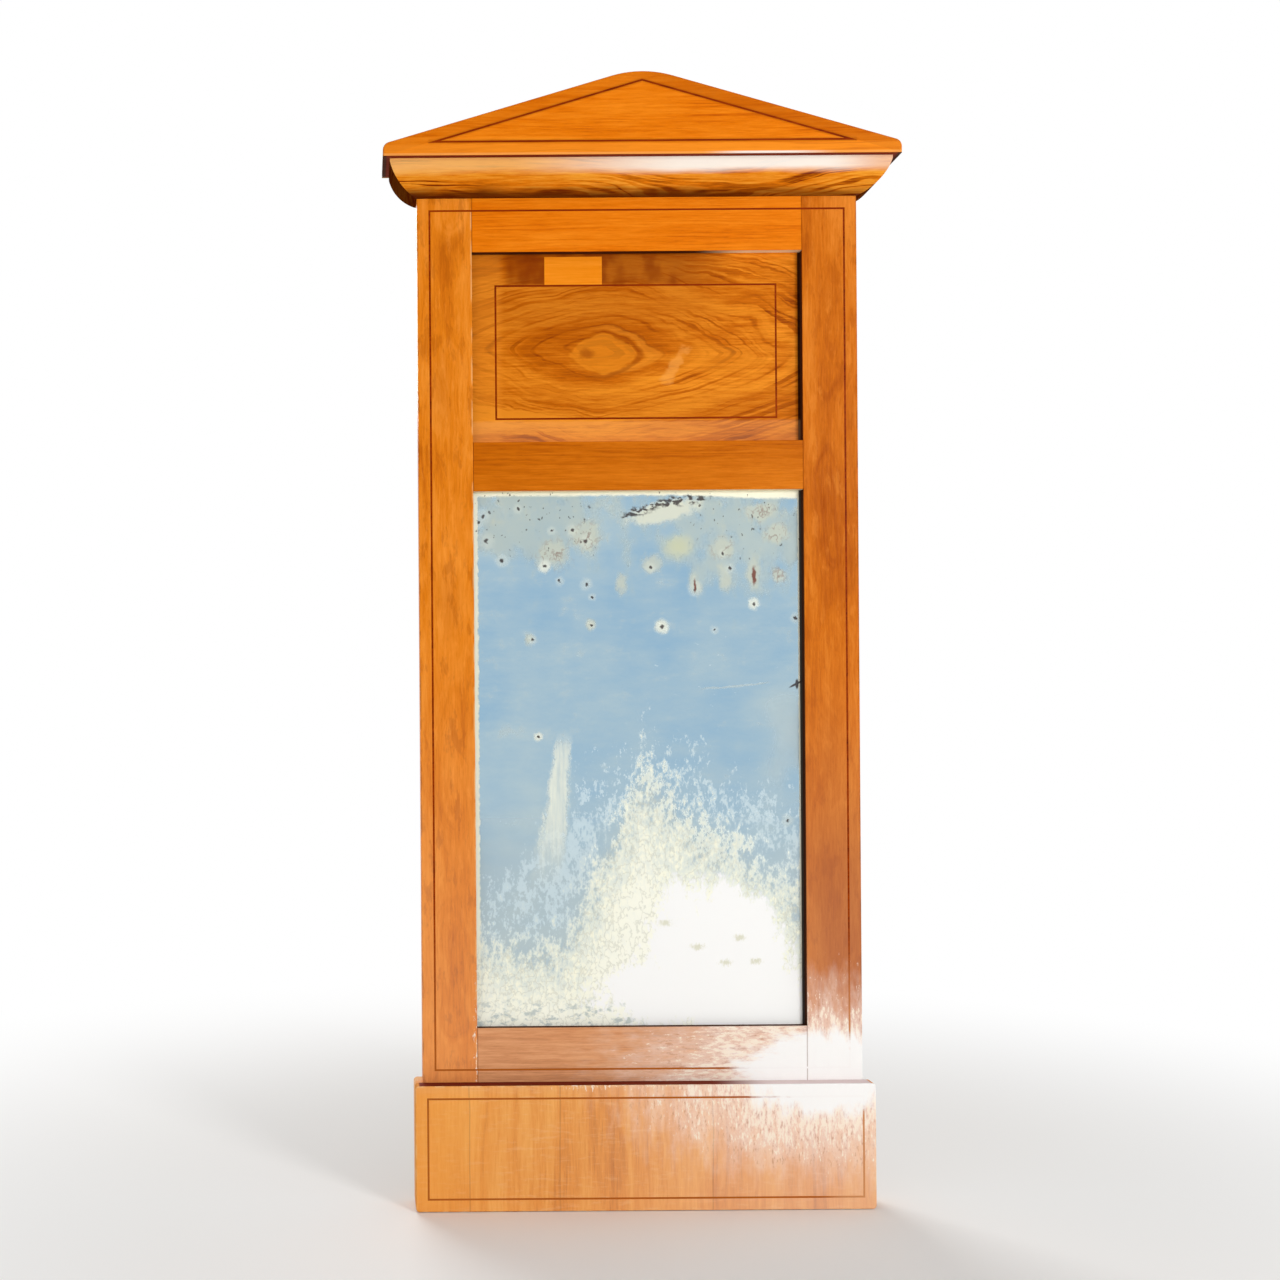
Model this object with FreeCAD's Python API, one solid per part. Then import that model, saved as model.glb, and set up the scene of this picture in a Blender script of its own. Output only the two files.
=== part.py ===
import FreeCAD, Part
import math
import os
from FreeCAD import Vector

# A pediment mirror: a veneered pine frame that holds a frieze panel and an aged mirror plate,
# with a moulded cornice and a low gable on top and a plinth below. It hangs by two rings on its back.
# Lengths are in millimetres. X runs to the right, the front faces -Y and Z is up.
# The model is built up from the foot of the plinth. Each piece is then set down with the origin
# in the wall plane, midway between the bars of the two hanging rings.

# Frame: stiles that run from the foot to the gable, and three rails between them
frame_width = 471.0
stile_width = 58.5
core_thickness = 20.8
veneer_thickness = 1.2
bottom_rail_width = 58.1
bottom_rail_reach = 43.5
mirror_opening_height = 575.4
middle_rail_width = 52.5
panel_opening_height = 203.9
top_rail_width = 57.6
arris_radius = 0.5
arris_limit_share = 0.6

# Mortise and tenon joints, pegged from the back
tenon_thickness = 7.0
tenon_length = 38.0
tenon_shoulder = 4.0
peg_diameter = 6.0
peg_length = 17.0
peg_inset = 15.0
peg_height_shares = (0.25, 0.75)
wood_fit = 0.05

# Rebates, mirror plate and the small wedges that hold it
rebate_width = 8.0
glass_lip = 9.5
panel_lip = 9.5
glass_thickness = 4.0
glass_clearance = 1.0
wedge_length = 40.0
side_wedge_shares = (0.14, 0.5, 0.86)
end_wedge_shares = (0.28, 0.72)

# Frieze panel: a board with figured veneer and a let-in repair
panel_veneer_thickness = 1.0
panel_clearance = 0.5
panel_string_side_inset = 25.0
panel_string_low_inset = 25.5
panel_string_high_inset = 33.0
patch_width = 62.0
patch_height = 30.0
patch_from_left = 79.0

# String inlay, let into the veneers
string_width = 2.0
inlay_depth = 0.7
frame_string_inset = 12.5
plinth_string_inset = 12.5
pediment_string_inset = 13.0

# Backboards, nailed over the back of the frame
backboard_thickness = 6.0
backboard_lap = 12.0
plank_count = 3
plank_gap = 0.8
nail_length = 20.0
nail_width = 2.2
nail_head_width = 5.0
nail_head_thickness = 1.0
nail_place_shares = (0.18, 0.82)

# Cornice: a shallow rounded moulding, mitred to its returns
cornice_height = 32.5
cornice_projection = 29.0
cornice_step = 3.0
cornice_soffit = 1.5
cornice_round_share = 0.63

# Pediment: a bed board with a gable front, a boarded roof and ribs inside
pediment_overhang = 7.5
pediment_end_height = 13.0
pediment_rise = 79.0
eave_radius = 8.5
apex_radius = 115.0
pediment_arris_radius = 2.2
tympanum_thickness = 20.0
roof_thickness = 10.0
rib_width = 36.0
rib_setback = 6.0
side_rib_share = 0.48
dowel_diameter = 8.0
dowel_depth_in_frame = 25.0
dowel_depth_in_bed = 9.0
rail_dowel_share = 0.45

# Plinth: a thick board across the front with a return at each side
plinth_height = 133.5
plinth_board_thickness = 16.0
plinth_side_projection = 9.0
plinth_corner_radius = 4.0
plinth_arris_radius = 1.5
glue_block_width = 22.0

# Wood screws, countersunk in the back of the frame
screw_diameter = 4.0
screw_head_diameter = 8.0
screw_head_height = 2.2
screw_tip_length = 5.0
screw_slot_width = 1.0
screw_slot_depth = 1.0
cornice_screw_length = 36.0
cornice_screw_shares = (-0.68, 0.0, 0.68)
cornice_screw_height_share = 0.5
plinth_screw_length = 32.0
plinth_rail_screw_share = 0.5
plinth_stile_screw_height_share = 0.3

# Ring hangers on the backs of the stiles
hanger_height_share = 0.45
strap_width = 12.0
strap_thickness = 1.0
strap_length = 20.0
ring_wire_diameter = 2.6
ring_bar_length = 15.0
ring_corner_radius = 2.5
ring_leg_length = 18.0
ring_fit = 0.08
hanger_screw_diameter = 2.8
hanger_screw_length = 15.0
hanger_screw_tip_length = 4.0
hanger_screw_head_diameter = 5.0
hanger_screw_head_height = 1.2
screw_crown_share = math.sqrt(0.5)
hanger_screw_slot_width = 0.8
hanger_screw_slot_depth = 0.6
hanger_screw_shares = (0.38, 0.76)

# Cutters pass the faces that they cut by this much, and faces this near are the same face
overrun = 1.0
same_place = 1e-6

# Places that follow from the sizes
half_frame = frame_width / 2
half_opening = half_frame - stile_width
half_core = half_frame - veneer_thickness
half_pocket = half_opening + rebate_width
half_backboard = half_pocket + backboard_lap
half_cornice = half_frame + cornice_projection
half_pediment = half_cornice + pediment_overhang
half_plinth = half_frame + plinth_side_projection
stile_middle = (half_opening + half_core) / 2

wall = 0.0
frame_back = wall - backboard_thickness
core_front = frame_back - core_thickness
core_middle = (frame_back + core_front) / 2
frame_front = core_front - veneer_thickness
glass_front = frame_front + glass_lip
glass_back = glass_front + glass_thickness
panel_front = frame_front + panel_lip
panel_core_front = panel_front + panel_veneer_thickness
plinth_core_front = core_front - plinth_board_thickness
plinth_front = plinth_core_front - veneer_thickness
cornice_front = frame_front - cornice_projection
pediment_front = cornice_front - pediment_overhang
pediment_core_front = pediment_front + veneer_thickness
tympanum_back = pediment_core_front + tympanum_thickness

foot = 0.0
rail_foot = plinth_height - bottom_rail_reach
mirror_low = plinth_height + bottom_rail_width
mirror_high = mirror_low + mirror_opening_height
panel_low = mirror_high + middle_rail_width
panel_high = panel_low + panel_opening_height
cornice_low = panel_high + top_rail_width
bed_low = cornice_low + cornice_height
bed_top = bed_low + pediment_end_height
apex = bed_top + pediment_rise
backboard_low = mirror_low - rebate_width - backboard_lap
backboard_high = panel_high + rebate_width + backboard_lap

frame_arris = min(arris_radius, veneer_thickness * arris_limit_share)


def block(x_span, y_span, z_span):
    """A box between two corners, given as spans along X, Y and Z."""
    corner = Vector(x_span[0], y_span[0], z_span[0])
    return Part.makeBox(x_span[1] - x_span[0], y_span[1] - y_span[0], z_span[1] - z_span[0], corner)


def upright_prism(outline, y_span):
    """An outline of (x, z) points, carried from front to back."""
    points = [Vector(x, y_span[0], z) for x, z in outline]
    face = Part.Face(Part.makePolygon(points + points[:1]))
    return face.extrude(Vector(0, y_span[1] - y_span[0], 0))


def rounded_prism(outline, radii, y_span):
    """An outline of (x, z) points with rounded corners, carried from front to back."""
    points = [Vector(x, y_span[0], z) for x, z in outline]
    starts = []
    ends = []
    middles = []
    for index, corner in enumerate(points):
        before = (points[index - 1] - corner).normalize()
        after = (points[(index + 1) % len(points)] - corner).normalize()
        half_angle = before.getAngle(after) / 2
        radius = radii[index]
        starts.append(corner + before * (radius / math.tan(half_angle)))
        ends.append(corner + after * (radius / math.tan(half_angle)))
        towards_centre = (before + after).normalize()
        middles.append(corner + towards_centre * (radius / math.sin(half_angle) - radius))
    edges = []
    for index, radius in enumerate(radii):
        if radius > 0:
            edges.append(Part.Arc(starts[index], middles[index], ends[index]).toShape())
        edges.append(Part.makeLine(ends[index], starts[(index + 1) % len(points)]))
    face = Part.Face(Part.Wire(edges))
    return face.extrude(Vector(0, y_span[1] - y_span[0], 0))


def inset_outline(outline, inset):
    """A convex outline of (x, z) points, listed clockwise from the front, with each side moved inward."""
    moved = []
    for index, (x, z) in enumerate(outline):
        before = outline[index - 1]
        after = outline[(index + 1) % len(outline)]
        to_here = Vector(x - before[0], 0, z - before[1]).normalize()
        to_next = Vector(after[0] - x, 0, after[1] - z).normalize()
        turn = to_here.getAngle(to_next)
        bisector = (to_next - to_here).normalize()
        step = bisector * (inset / math.cos(turn / 2))
        moved.append((x + step.x, z + step.z))
    return moved


def string_strips(outline, face_at):
    """Mitred strips of string inlay along an outline, flush with a face."""
    inner = inset_outline(outline, string_width)
    strips = []
    for index in range(len(outline)):
        following = (index + 1) % len(outline)
        sides = [outline[index], outline[following], inner[following], inner[index]]
        strips.append(upright_prism(sides, (face_at, face_at + inlay_depth)))
    return strips


def soften_front(sheet, face_at, radius):
    """Round the arrises around a sheet's front face."""
    arrises = []
    for edge in sheet.Edges:
        if all(abs(corner.Point.y - face_at) < same_place for corner in edge.Vertexes):
            arrises.append(edge)
    return sheet.makeFillet(radius, arrises)


def turned_along_y(profile, place):
    """A body turned about the Y axis from (radius, y) points, moved to its place."""
    points = [Vector(radius, y, 0) for radius, y in profile]
    face = Part.Face(Part.makePolygon(points + points[:1]))
    body = face.revolve(Vector(0, 0, 0), Vector(0, 1, 0), 360)
    body.translate(place)
    return body


def other_side(shape):
    """The same piece for the left side."""
    return shape.mirror(Vector(0, 0, 0), Vector(1, 0, 0))


def both_sides(shapes):
    """Pieces of the right side with their left partners."""
    return shapes + [other_side(shape) for shape in shapes]


def save(node, *solids):
    """Set one node down about the origin and write it, as one solid or as a group of separate solids."""
    shape = solids[0].copy() if len(solids) == 1 else Part.makeCompound(list(solids))
    shape.translate(Vector(0, 0, -hanger_z))
    volumes = [solid.Volume for solid in shape.Solids]
    state = "valid" if shape.isValid() else "INVALID"
    print(node, len(volumes), "solid(s)", round(sum(volumes)), "mm3", state)
    shape.exportStep(os.path.join("parts", node + ".step"))


def wood_screw(length, place, slack=0):
    """A countersunk screw that points to the front, or with slack the hole that it sits in."""
    head = screw_head_diameter / 2 + slack
    shank = screw_diameter / 2 + slack
    profile = [(0, 0), (head, 0), (shank, -screw_head_height)]
    profile += [(shank, screw_tip_length - length), (0, -length - slack)]
    body = turned_along_y(profile, place)
    if slack > 0:
        return body
    slot_span = (place.x - screw_slot_width / 2, place.x + screw_slot_width / 2)
    reach = (place.z - screw_head_diameter, place.z + screw_head_diameter)
    return body.cut(block(slot_span, (place.y - screw_slot_depth, place.y + overrun), reach))


def round_pin(diameter, length, place, direction, slack=0):
    """A round peg or dowel, or with slack the hole that it sits in."""
    return Part.makeCylinder(diameter / 2 + slack, length + slack, place, direction)


def rebate_pocket(front_at, z_low, z_high):
    """The room that is cut from the back of the frame around an opening."""
    z_span = (z_low - rebate_width, z_high + rebate_width)
    return block((-half_pocket, half_pocket), (front_at, frame_back + overrun), z_span)


def right_tenon(z_span):
    """A rail's right tenon, which is also the mortise in the stile."""
    cheek = tenon_thickness / 2
    x_span = (half_opening, half_opening + tenon_length)
    return block(x_span, (core_middle - cheek, core_middle + cheek), z_span)


def tenon_pegs(z_span, slack=0):
    """The pegs through a rail's right tenon."""
    pegs = []
    for share in peg_height_shares:
        place = Vector(half_opening + peg_inset, frame_back, z_span[0] + (z_span[1] - z_span[0]) * share)
        pegs.append(round_pin(peg_diameter, peg_length, place, Vector(0, -1, 0), slack))
    return pegs


os.makedirs("parts", exist_ok=True)

# Screws, pegs and dowels come first, because the timber is bored for them
rail_edge_margin = rebate_width + tenon_shoulder
tenon_spans = {
    "top": (panel_high + rail_edge_margin, bed_low - dowel_depth_in_frame - tenon_shoulder),
    "middle": (mirror_high + rail_edge_margin, panel_low - rail_edge_margin),
    "bottom": (rail_foot + tenon_shoulder, mirror_low - rail_edge_margin),
}
right_peg_holes = [hole for span in tenon_spans.values() for hole in tenon_pegs(span, wood_fit)]
peg_holes = both_sides(right_peg_holes)

dowel_places = [Vector(stile_middle, core_middle, bed_low - dowel_depth_in_frame)]
dowel_places.append(Vector(half_opening * rail_dowel_share, core_middle, bed_low - dowel_depth_in_frame))
dowel_length = dowel_depth_in_frame + dowel_depth_in_bed
right_dowels = []
right_bores = []
for place in dowel_places:
    right_dowels.append(round_pin(dowel_diameter, dowel_length, place, Vector(0, 0, 1)))
    right_bores.append(round_pin(dowel_diameter, dowel_length, place, Vector(0, 0, 1), wood_fit))
dowel_bores = both_sides(right_bores)

cornice_screw_height = cornice_low + cornice_height * cornice_screw_height_share
cornice_screw_places = []
for share in cornice_screw_shares:
    cornice_screw_places.append(Vector(half_opening * share, frame_back, cornice_screw_height))
cornice_screw_holes = [wood_screw(cornice_screw_length, place, wood_fit) for place in cornice_screw_places]

plinth_screw_places = []
for side in (-1, 1):
    rail_height = rail_foot + bottom_rail_reach / 2
    stile_height = plinth_height * plinth_stile_screw_height_share
    plinth_screw_places.append(Vector(side * half_opening * plinth_rail_screw_share, frame_back, rail_height))
    plinth_screw_places.append(Vector(side * stile_middle, frame_back, stile_height))
plinth_screw_holes = [wood_screw(plinth_screw_length, place, wood_fit) for place in plinth_screw_places]

# Ring hanger, right side: a strap bent round the ring's bar and screwed to the stile
ring_bar_radius = ring_wire_diameter / 2
loop_bore = ring_bar_radius + ring_fit
loop_radius = loop_bore + strap_thickness
hanger_x = (half_backboard + half_frame) / 2
hanger_y = frame_back + loop_radius
hanger_z = panel_low + panel_opening_height * hanger_height_share
half_strap = strap_width / 2
strap_face = frame_back + strap_thickness
strap_x_span = (hanger_x - half_strap, hanger_x + half_strap)
loop_start = Vector(strap_x_span[0], hanger_y, hanger_z)
loop = Part.makeCylinder(loop_radius, strap_width, loop_start, Vector(1, 0, 0))
strap_plate = block(strap_x_span, (frame_back, strap_face), (hanger_z - strap_length, hanger_z))
bore_start = Vector(strap_x_span[0] - overrun, hanger_y, hanger_z)
loop_hole = Part.makeCylinder(loop_bore, strap_width + overrun * 2, bore_start, Vector(1, 0, 0))
hanger_screw_places = []
for share in hanger_screw_shares:
    hanger_screw_places.append(Vector(hanger_x, strap_face, hanger_z - strap_length * share))


def hanger_screw(place, slack=0):
    """A round-headed screw through the strap, or with slack its hole in strap and stile."""
    shank = hanger_screw_diameter / 2 + slack
    head = hanger_screw_head_diameter / 2
    tip = [(shank, hanger_screw_tip_length - hanger_screw_length), (0, -hanger_screw_length - slack)]
    if slack > 0:
        return turned_along_y([(0, overrun), (shank, overrun)] + tip, place)
    crown = [(0, hanger_screw_head_height), (head * screw_crown_share, hanger_screw_head_height)]
    shoulder = [(head, hanger_screw_head_height * (1 - screw_crown_share)), (head, 0), (shank, 0)]
    body = turned_along_y(crown + shoulder + tip, place)
    slot_span = (place.x - hanger_screw_slot_width / 2, place.x + hanger_screw_slot_width / 2)
    slot_bottom = place.y + hanger_screw_head_height - hanger_screw_slot_depth
    slot_depth_span = (slot_bottom, place.y + hanger_screw_head_height + overrun)
    return body.cut(block(slot_span, slot_depth_span, (place.z - head * 2, place.z + head * 2)))


hanger_holes = [hanger_screw(place, wood_fit) for place in hanger_screw_places]
right_strap = loop.fuse(strap_plate).removeSplitter().cut([loop_hole] + hanger_holes)

# The ring: a straight bar in the strap, two rounded corners, two legs and a half-round bow
half_bar = ring_bar_length / 2
bow_radius = half_bar + ring_corner_radius
wire_start = Vector(hanger_x - half_bar, hanger_y, hanger_z)
bar = Part.makeCylinder(ring_bar_radius, ring_bar_length, wire_start, Vector(1, 0, 0))
corner_centre = Vector(hanger_x + half_bar, hanger_y, hanger_z - ring_corner_radius)
bar_end = wire_start + Vector(ring_bar_length, 0, 0)
bar_section = Part.Wire(Part.makeCircle(ring_bar_radius, bar_end, Vector(1, 0, 0)))
corner = Part.Face(bar_section).revolve(corner_centre, Vector(0, 1, 0), 90)
leg_top = Vector(hanger_x + bow_radius, hanger_y, hanger_z - ring_corner_radius)
leg = Part.makeCylinder(ring_bar_radius, ring_leg_length, leg_top, Vector(0, 0, -1))
leg_foot = leg_top - Vector(0, 0, ring_leg_length)
leg_end = Part.Wire(Part.makeCircle(ring_bar_radius, leg_foot, Vector(0, 0, -1)))
bow_centre = Vector(hanger_x, hanger_y, leg_foot.z)
bow = Part.Face(leg_end).revolve(bow_centre, Vector(0, 1, 0), 180)
ring_plane = Vector(hanger_x, 0, 0)
ring_halves = [corner.mirror(ring_plane, Vector(1, 0, 0)), leg.mirror(ring_plane, Vector(1, 0, 0))]
right_ring = bar.fuse([corner, leg, bow] + ring_halves).removeSplitter()

# Stiles and rails, with their mortises, tenons and rebates
glass_pocket = rebate_pocket(glass_front, mirror_low, mirror_high)
panel_pocket = rebate_pocket(panel_front, panel_low, panel_high)
core_depth = (core_front, frame_back)
right_stile = block((half_opening, half_core), core_depth, (foot, bed_low))
stile_cutters = [right_tenon(span) for span in tenon_spans.values()]
stile_cutters += [glass_pocket, panel_pocket, right_bores[0]]
stile_cutters += right_peg_holes + hanger_holes
right_stile = right_stile.cut(stile_cutters + plinth_screw_holes)

rail_spans = {
    "top": (panel_high, bed_low),
    "middle": (mirror_high, panel_low),
    "bottom": (rail_foot, mirror_low),
}
rails = {}
for place, span in rail_spans.items():
    tenon = right_tenon(tenon_spans[place])
    rail = block((-half_opening, half_opening), core_depth, span).fuse([tenon, other_side(tenon)])
    rails[place] = rail.removeSplitter().cut([glass_pocket, panel_pocket] + peg_holes)
rails["top"] = rails["top"].cut(dowel_bores + cornice_screw_holes)
rails["bottom"] = rails["bottom"].cut(plinth_screw_holes)

# Front veneers with the frame's string let in, and veneers on the outer sides
frame_outline = [(-half_frame, plinth_height), (-half_frame, cornice_low)]
frame_outline += [(half_frame, cornice_low), (half_frame, plinth_height)]
frame_strings = string_strips(inset_outline(frame_outline, frame_string_inset), frame_front)


def front_veneer(x_span, z_span):
    """A sheet of veneer on the front of the frame, grooved for the string."""
    sheet = block(x_span, (frame_front, core_front), z_span)
    return soften_front(sheet, frame_front, frame_arris).cut(frame_strings)


right_stile_veneer = front_veneer((half_opening, half_frame), (plinth_height, cornice_low))
left_stile_veneer = front_veneer((-half_frame, -half_opening), (plinth_height, cornice_low))
rail_x_span = (-half_opening, half_opening)
top_rail_veneer = front_veneer(rail_x_span, (panel_high, cornice_low))
middle_rail_veneer = front_veneer(rail_x_span, (mirror_high, panel_low))
bottom_rail_veneer = front_veneer(rail_x_span, (plinth_height, mirror_low))
right_side_veneer = block((half_core, half_frame), core_depth, (plinth_height, cornice_low))

# Frieze panel: board, figured veneer, string and the repair let in above it
half_panel = half_pocket - panel_clearance
panel_z_span = (panel_low - rebate_width + panel_clearance, panel_high + rebate_width - panel_clearance)
panel_x_span = (-half_panel, half_panel)
frieze_panel = block(panel_x_span, (panel_core_front, frame_back), panel_z_span)
half_panel_string = half_opening - panel_string_side_inset
panel_string_high = panel_high - panel_string_high_inset
panel_outline = [(-half_panel_string, panel_low + panel_string_low_inset)]
panel_outline += [(-half_panel_string, panel_string_high), (half_panel_string, panel_string_high)]
panel_outline += [(half_panel_string, panel_low + panel_string_low_inset)]
panel_strings = string_strips(panel_outline, panel_front)
patch_left = patch_from_left - half_opening
patch_x_span = (patch_left, patch_left + patch_width)
patch_z_span = (panel_string_high, panel_string_high + patch_height)
frieze_patch = block(patch_x_span, (panel_front, panel_front + inlay_depth), patch_z_span)
frieze_veneer = block(panel_x_span, (panel_front, panel_core_front), panel_z_span)
frieze_veneer = frieze_veneer.cut(panel_strings + [frieze_patch])

# Mirror plate and the wedges that hold it in its rebate
half_glass = half_pocket - glass_clearance
glass_z_span = (mirror_low - rebate_width + glass_clearance, mirror_high + rebate_width - glass_clearance)
mirror_glass = block((-half_glass, half_glass), (glass_front, glass_back), glass_z_span)
wedge_depth = (glass_back, frame_back)
right_wedges = []
for share in side_wedge_shares:
    middle = mirror_low + mirror_opening_height * share
    wedge_z_span = (middle - wedge_length / 2, middle + wedge_length / 2)
    right_wedges.append(block((half_opening, half_pocket), wedge_depth, wedge_z_span))
glass_wedges = both_sides(right_wedges)
for share in end_wedge_shares:
    middle = half_opening * (share * 2 - 1)
    wedge_x_span = (middle - wedge_length / 2, middle + wedge_length / 2)
    glass_wedges.append(block(wedge_x_span, wedge_depth, (mirror_low - rebate_width, mirror_low)))
    glass_wedges.append(block(wedge_x_span, wedge_depth, (mirror_high, mirror_high + rebate_width)))


def cut_nail(x, z, slack=0):
    """A square nail driven flush from the back, or with slack the hole that it makes."""
    half_head = nail_head_width / 2 + slack
    half_shank = nail_width / 2 + slack
    head_depth = (wall - nail_head_thickness - slack, wall)
    shank_depth = (wall - nail_length - slack, wall)
    head = block((x - half_head, x + half_head), head_depth, (z - half_head, z + half_head))
    shank = block((x - half_shank, x + half_shank), shank_depth, (z - half_shank, z + half_shank))
    return head.fuse(shank).removeSplitter()


# Backboards: upright planks, nailed to the three rails
plank_width = (half_backboard * 2 - plank_gap * (plank_count - 1)) / plank_count
nail_heights = [backboard_low + backboard_lap / 2, (mirror_high + panel_low) / 2]
nail_heights.append(backboard_high - backboard_lap / 2)
planks = []
nail_places = []
for index in range(plank_count):
    plank_left = index * (plank_width + plank_gap) - half_backboard
    plank_x_span = (plank_left, plank_left + plank_width)
    planks.append(block(plank_x_span, (frame_back, wall), (backboard_low, backboard_high)))
    for share in nail_place_shares:
        nail_places += [(plank_left + plank_width * share, height) for height in nail_heights]
nail_holes = [cut_nail(x, z, wood_fit) for x, z in nail_places]
planks = [plank.cut(nail_holes) for plank in planks]
rails = {place: rail.cut(nail_holes) for place, rail in rails.items()}
right_stile = right_stile.cut(nail_holes)

# Cornice: the moulding's section, its front run and its mitred returns
cornice_depth = half_cornice - half_core
soffit_depth = veneer_thickness + cornice_soffit
step_low = bed_low - cornice_step
round_depth = cornice_depth - soffit_depth
round_height = step_low - cornice_low
middle_depth = soffit_depth + round_depth * cornice_round_share
middle_height = step_low - round_height * cornice_round_share


def cornice_run(at, length, outward, along):
    """The moulding along one side of the frame, before it is mitred."""
    def spot(depth, height):
        return at + outward * depth + Vector(0, 0, height)
    section = [Part.makeLine(spot(0, cornice_low), spot(soffit_depth, cornice_low))]
    round_points = [spot(soffit_depth, cornice_low), spot(middle_depth, middle_height)]
    round_points.append(spot(cornice_depth, step_low))
    section.append(Part.Arc(*round_points).toShape())
    section.append(Part.makeLine(spot(cornice_depth, step_low), spot(cornice_depth, bed_low)))
    section.append(Part.makeLine(spot(cornice_depth, bed_low), spot(0, bed_low)))
    section.append(Part.makeLine(spot(0, bed_low), spot(0, cornice_low)))
    return Part.Face(Part.Wire(section)).extrude(along * length)


def mitre_plan(points):
    """A plan outline of (x, y) points, carried through the height of the cornice."""
    corners = [Vector(x, y, cornice_low) for x, y in points]
    return Part.Face(Part.makePolygon(corners + corners[:1])).extrude(Vector(0, 0, cornice_height))


front_start = Vector(-half_cornice, core_front, 0)
front_run = cornice_run(front_start, half_cornice * 2, Vector(0, -1, 0), Vector(1, 0, 0))
front_plan = [(-half_core, core_front), (half_core, core_front)]
front_plan += [(half_cornice, cornice_front), (-half_cornice, cornice_front)]
cornice_front_moulding = front_run.common(mitre_plan(front_plan)).cut(cornice_screw_holes)
side_start = Vector(half_core, cornice_front, 0)
side_run = cornice_run(side_start, wall - cornice_front, Vector(1, 0, 0), Vector(0, 1, 0))
side_plan = [(half_core, core_front), (half_cornice, cornice_front), (half_cornice, wall), (half_core, wall)]
cornice_right_return = side_run.common(mitre_plan(side_plan))

# Pediment: bed, gable front, roof boards and ribs share one outline
gable_outline = [(-half_pediment, bed_low), (-half_pediment, bed_top), (0, apex)]
gable_outline += [(half_pediment, bed_top), (half_pediment, bed_low)]
gable_radii = [0, eave_radius, apex_radius, eave_radius, 0]
rake = math.atan2(pediment_rise, half_pediment)
above_bed = (bed_top, apex)
full_width = (-half_pediment, half_pediment)
whole_gable = rounded_prism(gable_outline, gable_radii, (pediment_front, wall))
whole_gable = soften_front(whole_gable, pediment_front, pediment_arris_radius)


def gable(y_span):
    """A slice of the gable, cut off square to its depth."""
    return whole_gable.common(block(full_width, y_span, (bed_low, apex)))


def under_roof(x):
    """The height of the roof boards' underside."""
    return apex - roof_thickness / math.cos(rake) - abs(x) * math.tan(rake)


bed_depth = (pediment_core_front, wall)
pediment_bed = gable(bed_depth).common(block(full_width, bed_depth, (bed_low, bed_top)))
pediment_bed = pediment_bed.cut(dowel_bores)
tympanum_depth = (pediment_core_front, tympanum_back)
tympanum = gable(tympanum_depth).common(block(full_width, tympanum_depth, above_bed))
roof_depth = (tympanum_back, wall)
half_loft = (under_roof(0) - bed_top) / math.tan(rake)
loft_outline = [(-half_loft, bed_top), (0, under_roof(0)), (half_loft, bed_top)]
right_roof = gable(roof_depth).common(block((0, half_pediment), roof_depth, above_bed))
right_roof = right_roof.cut(upright_prism(loft_outline, roof_depth))
rib_depth = (tympanum_back, wall - rib_setback)
half_rib = rib_width / 2
middle_rib_outline = [(-half_rib, bed_top), (-half_rib, under_roof(half_rib)), (0, under_roof(0))]
middle_rib_outline += [(half_rib, under_roof(half_rib)), (half_rib, bed_top)]
side_rib_middle = half_loft * side_rib_share
rib_left = side_rib_middle - half_rib
rib_right = side_rib_middle + half_rib
side_rib_outline = [(rib_left, bed_top), (rib_left, under_roof(rib_left))]
side_rib_outline += [(rib_right, under_roof(rib_right)), (rib_right, bed_top)]
pediment_ribs = both_sides([upright_prism(side_rib_outline, rib_depth)])
pediment_ribs.append(upright_prism(middle_rib_outline, rib_depth))
string_apex = apex - pediment_string_inset / math.cos(rake)
string_low = bed_low + pediment_string_inset
half_string_base = (string_apex - string_low) / math.tan(rake)
string_triangle = [(-half_string_base, string_low), (0, string_apex), (half_string_base, string_low)]
pediment_strings = string_strips(string_triangle, pediment_front)
pediment_veneer = gable((pediment_front, pediment_core_front)).cut(pediment_strings)

# Plinth: front board, veneer and returns share one outline with eased corners
plinth_outline = [(-half_plinth, foot), (-half_plinth, plinth_height)]
plinth_outline += [(half_plinth, plinth_height), (half_plinth, foot)]
plinth_radii = [plinth_corner_radius] * len(plinth_outline)
whole_plinth = rounded_prism(plinth_outline, plinth_radii, (plinth_front, wall))
whole_plinth = soften_front(whole_plinth, plinth_front, plinth_arris_radius)


def plinth_slice(x_span, y_span):
    """A slice of the plinth, cut off square."""
    return whole_plinth.common(block(x_span, y_span, (foot, plinth_height)))


plinth_width = (-half_plinth, half_plinth)
plinth_board = plinth_slice(plinth_width, (plinth_core_front, core_front)).cut(plinth_screw_holes)
plinth_strings = string_strips(inset_outline(plinth_outline, plinth_string_inset), plinth_front)
plinth_veneer = plinth_slice(plinth_width, (plinth_front, plinth_core_front)).cut(plinth_strings)
plinth_right_return = plinth_slice((half_core, half_plinth), (core_front, wall))
glue_block_plan = [Vector(half_opening, core_front, foot)]
glue_block_plan.append(Vector(half_opening - glue_block_width, core_front, foot))
glue_block_plan.append(Vector(half_opening, core_front + glue_block_width, foot))
glue_block_face = Part.Face(Part.makePolygon(glue_block_plan + glue_block_plan[:1]))
glue_block = glue_block_face.extrude(Vector(0, 0, rail_foot - foot))

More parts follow.
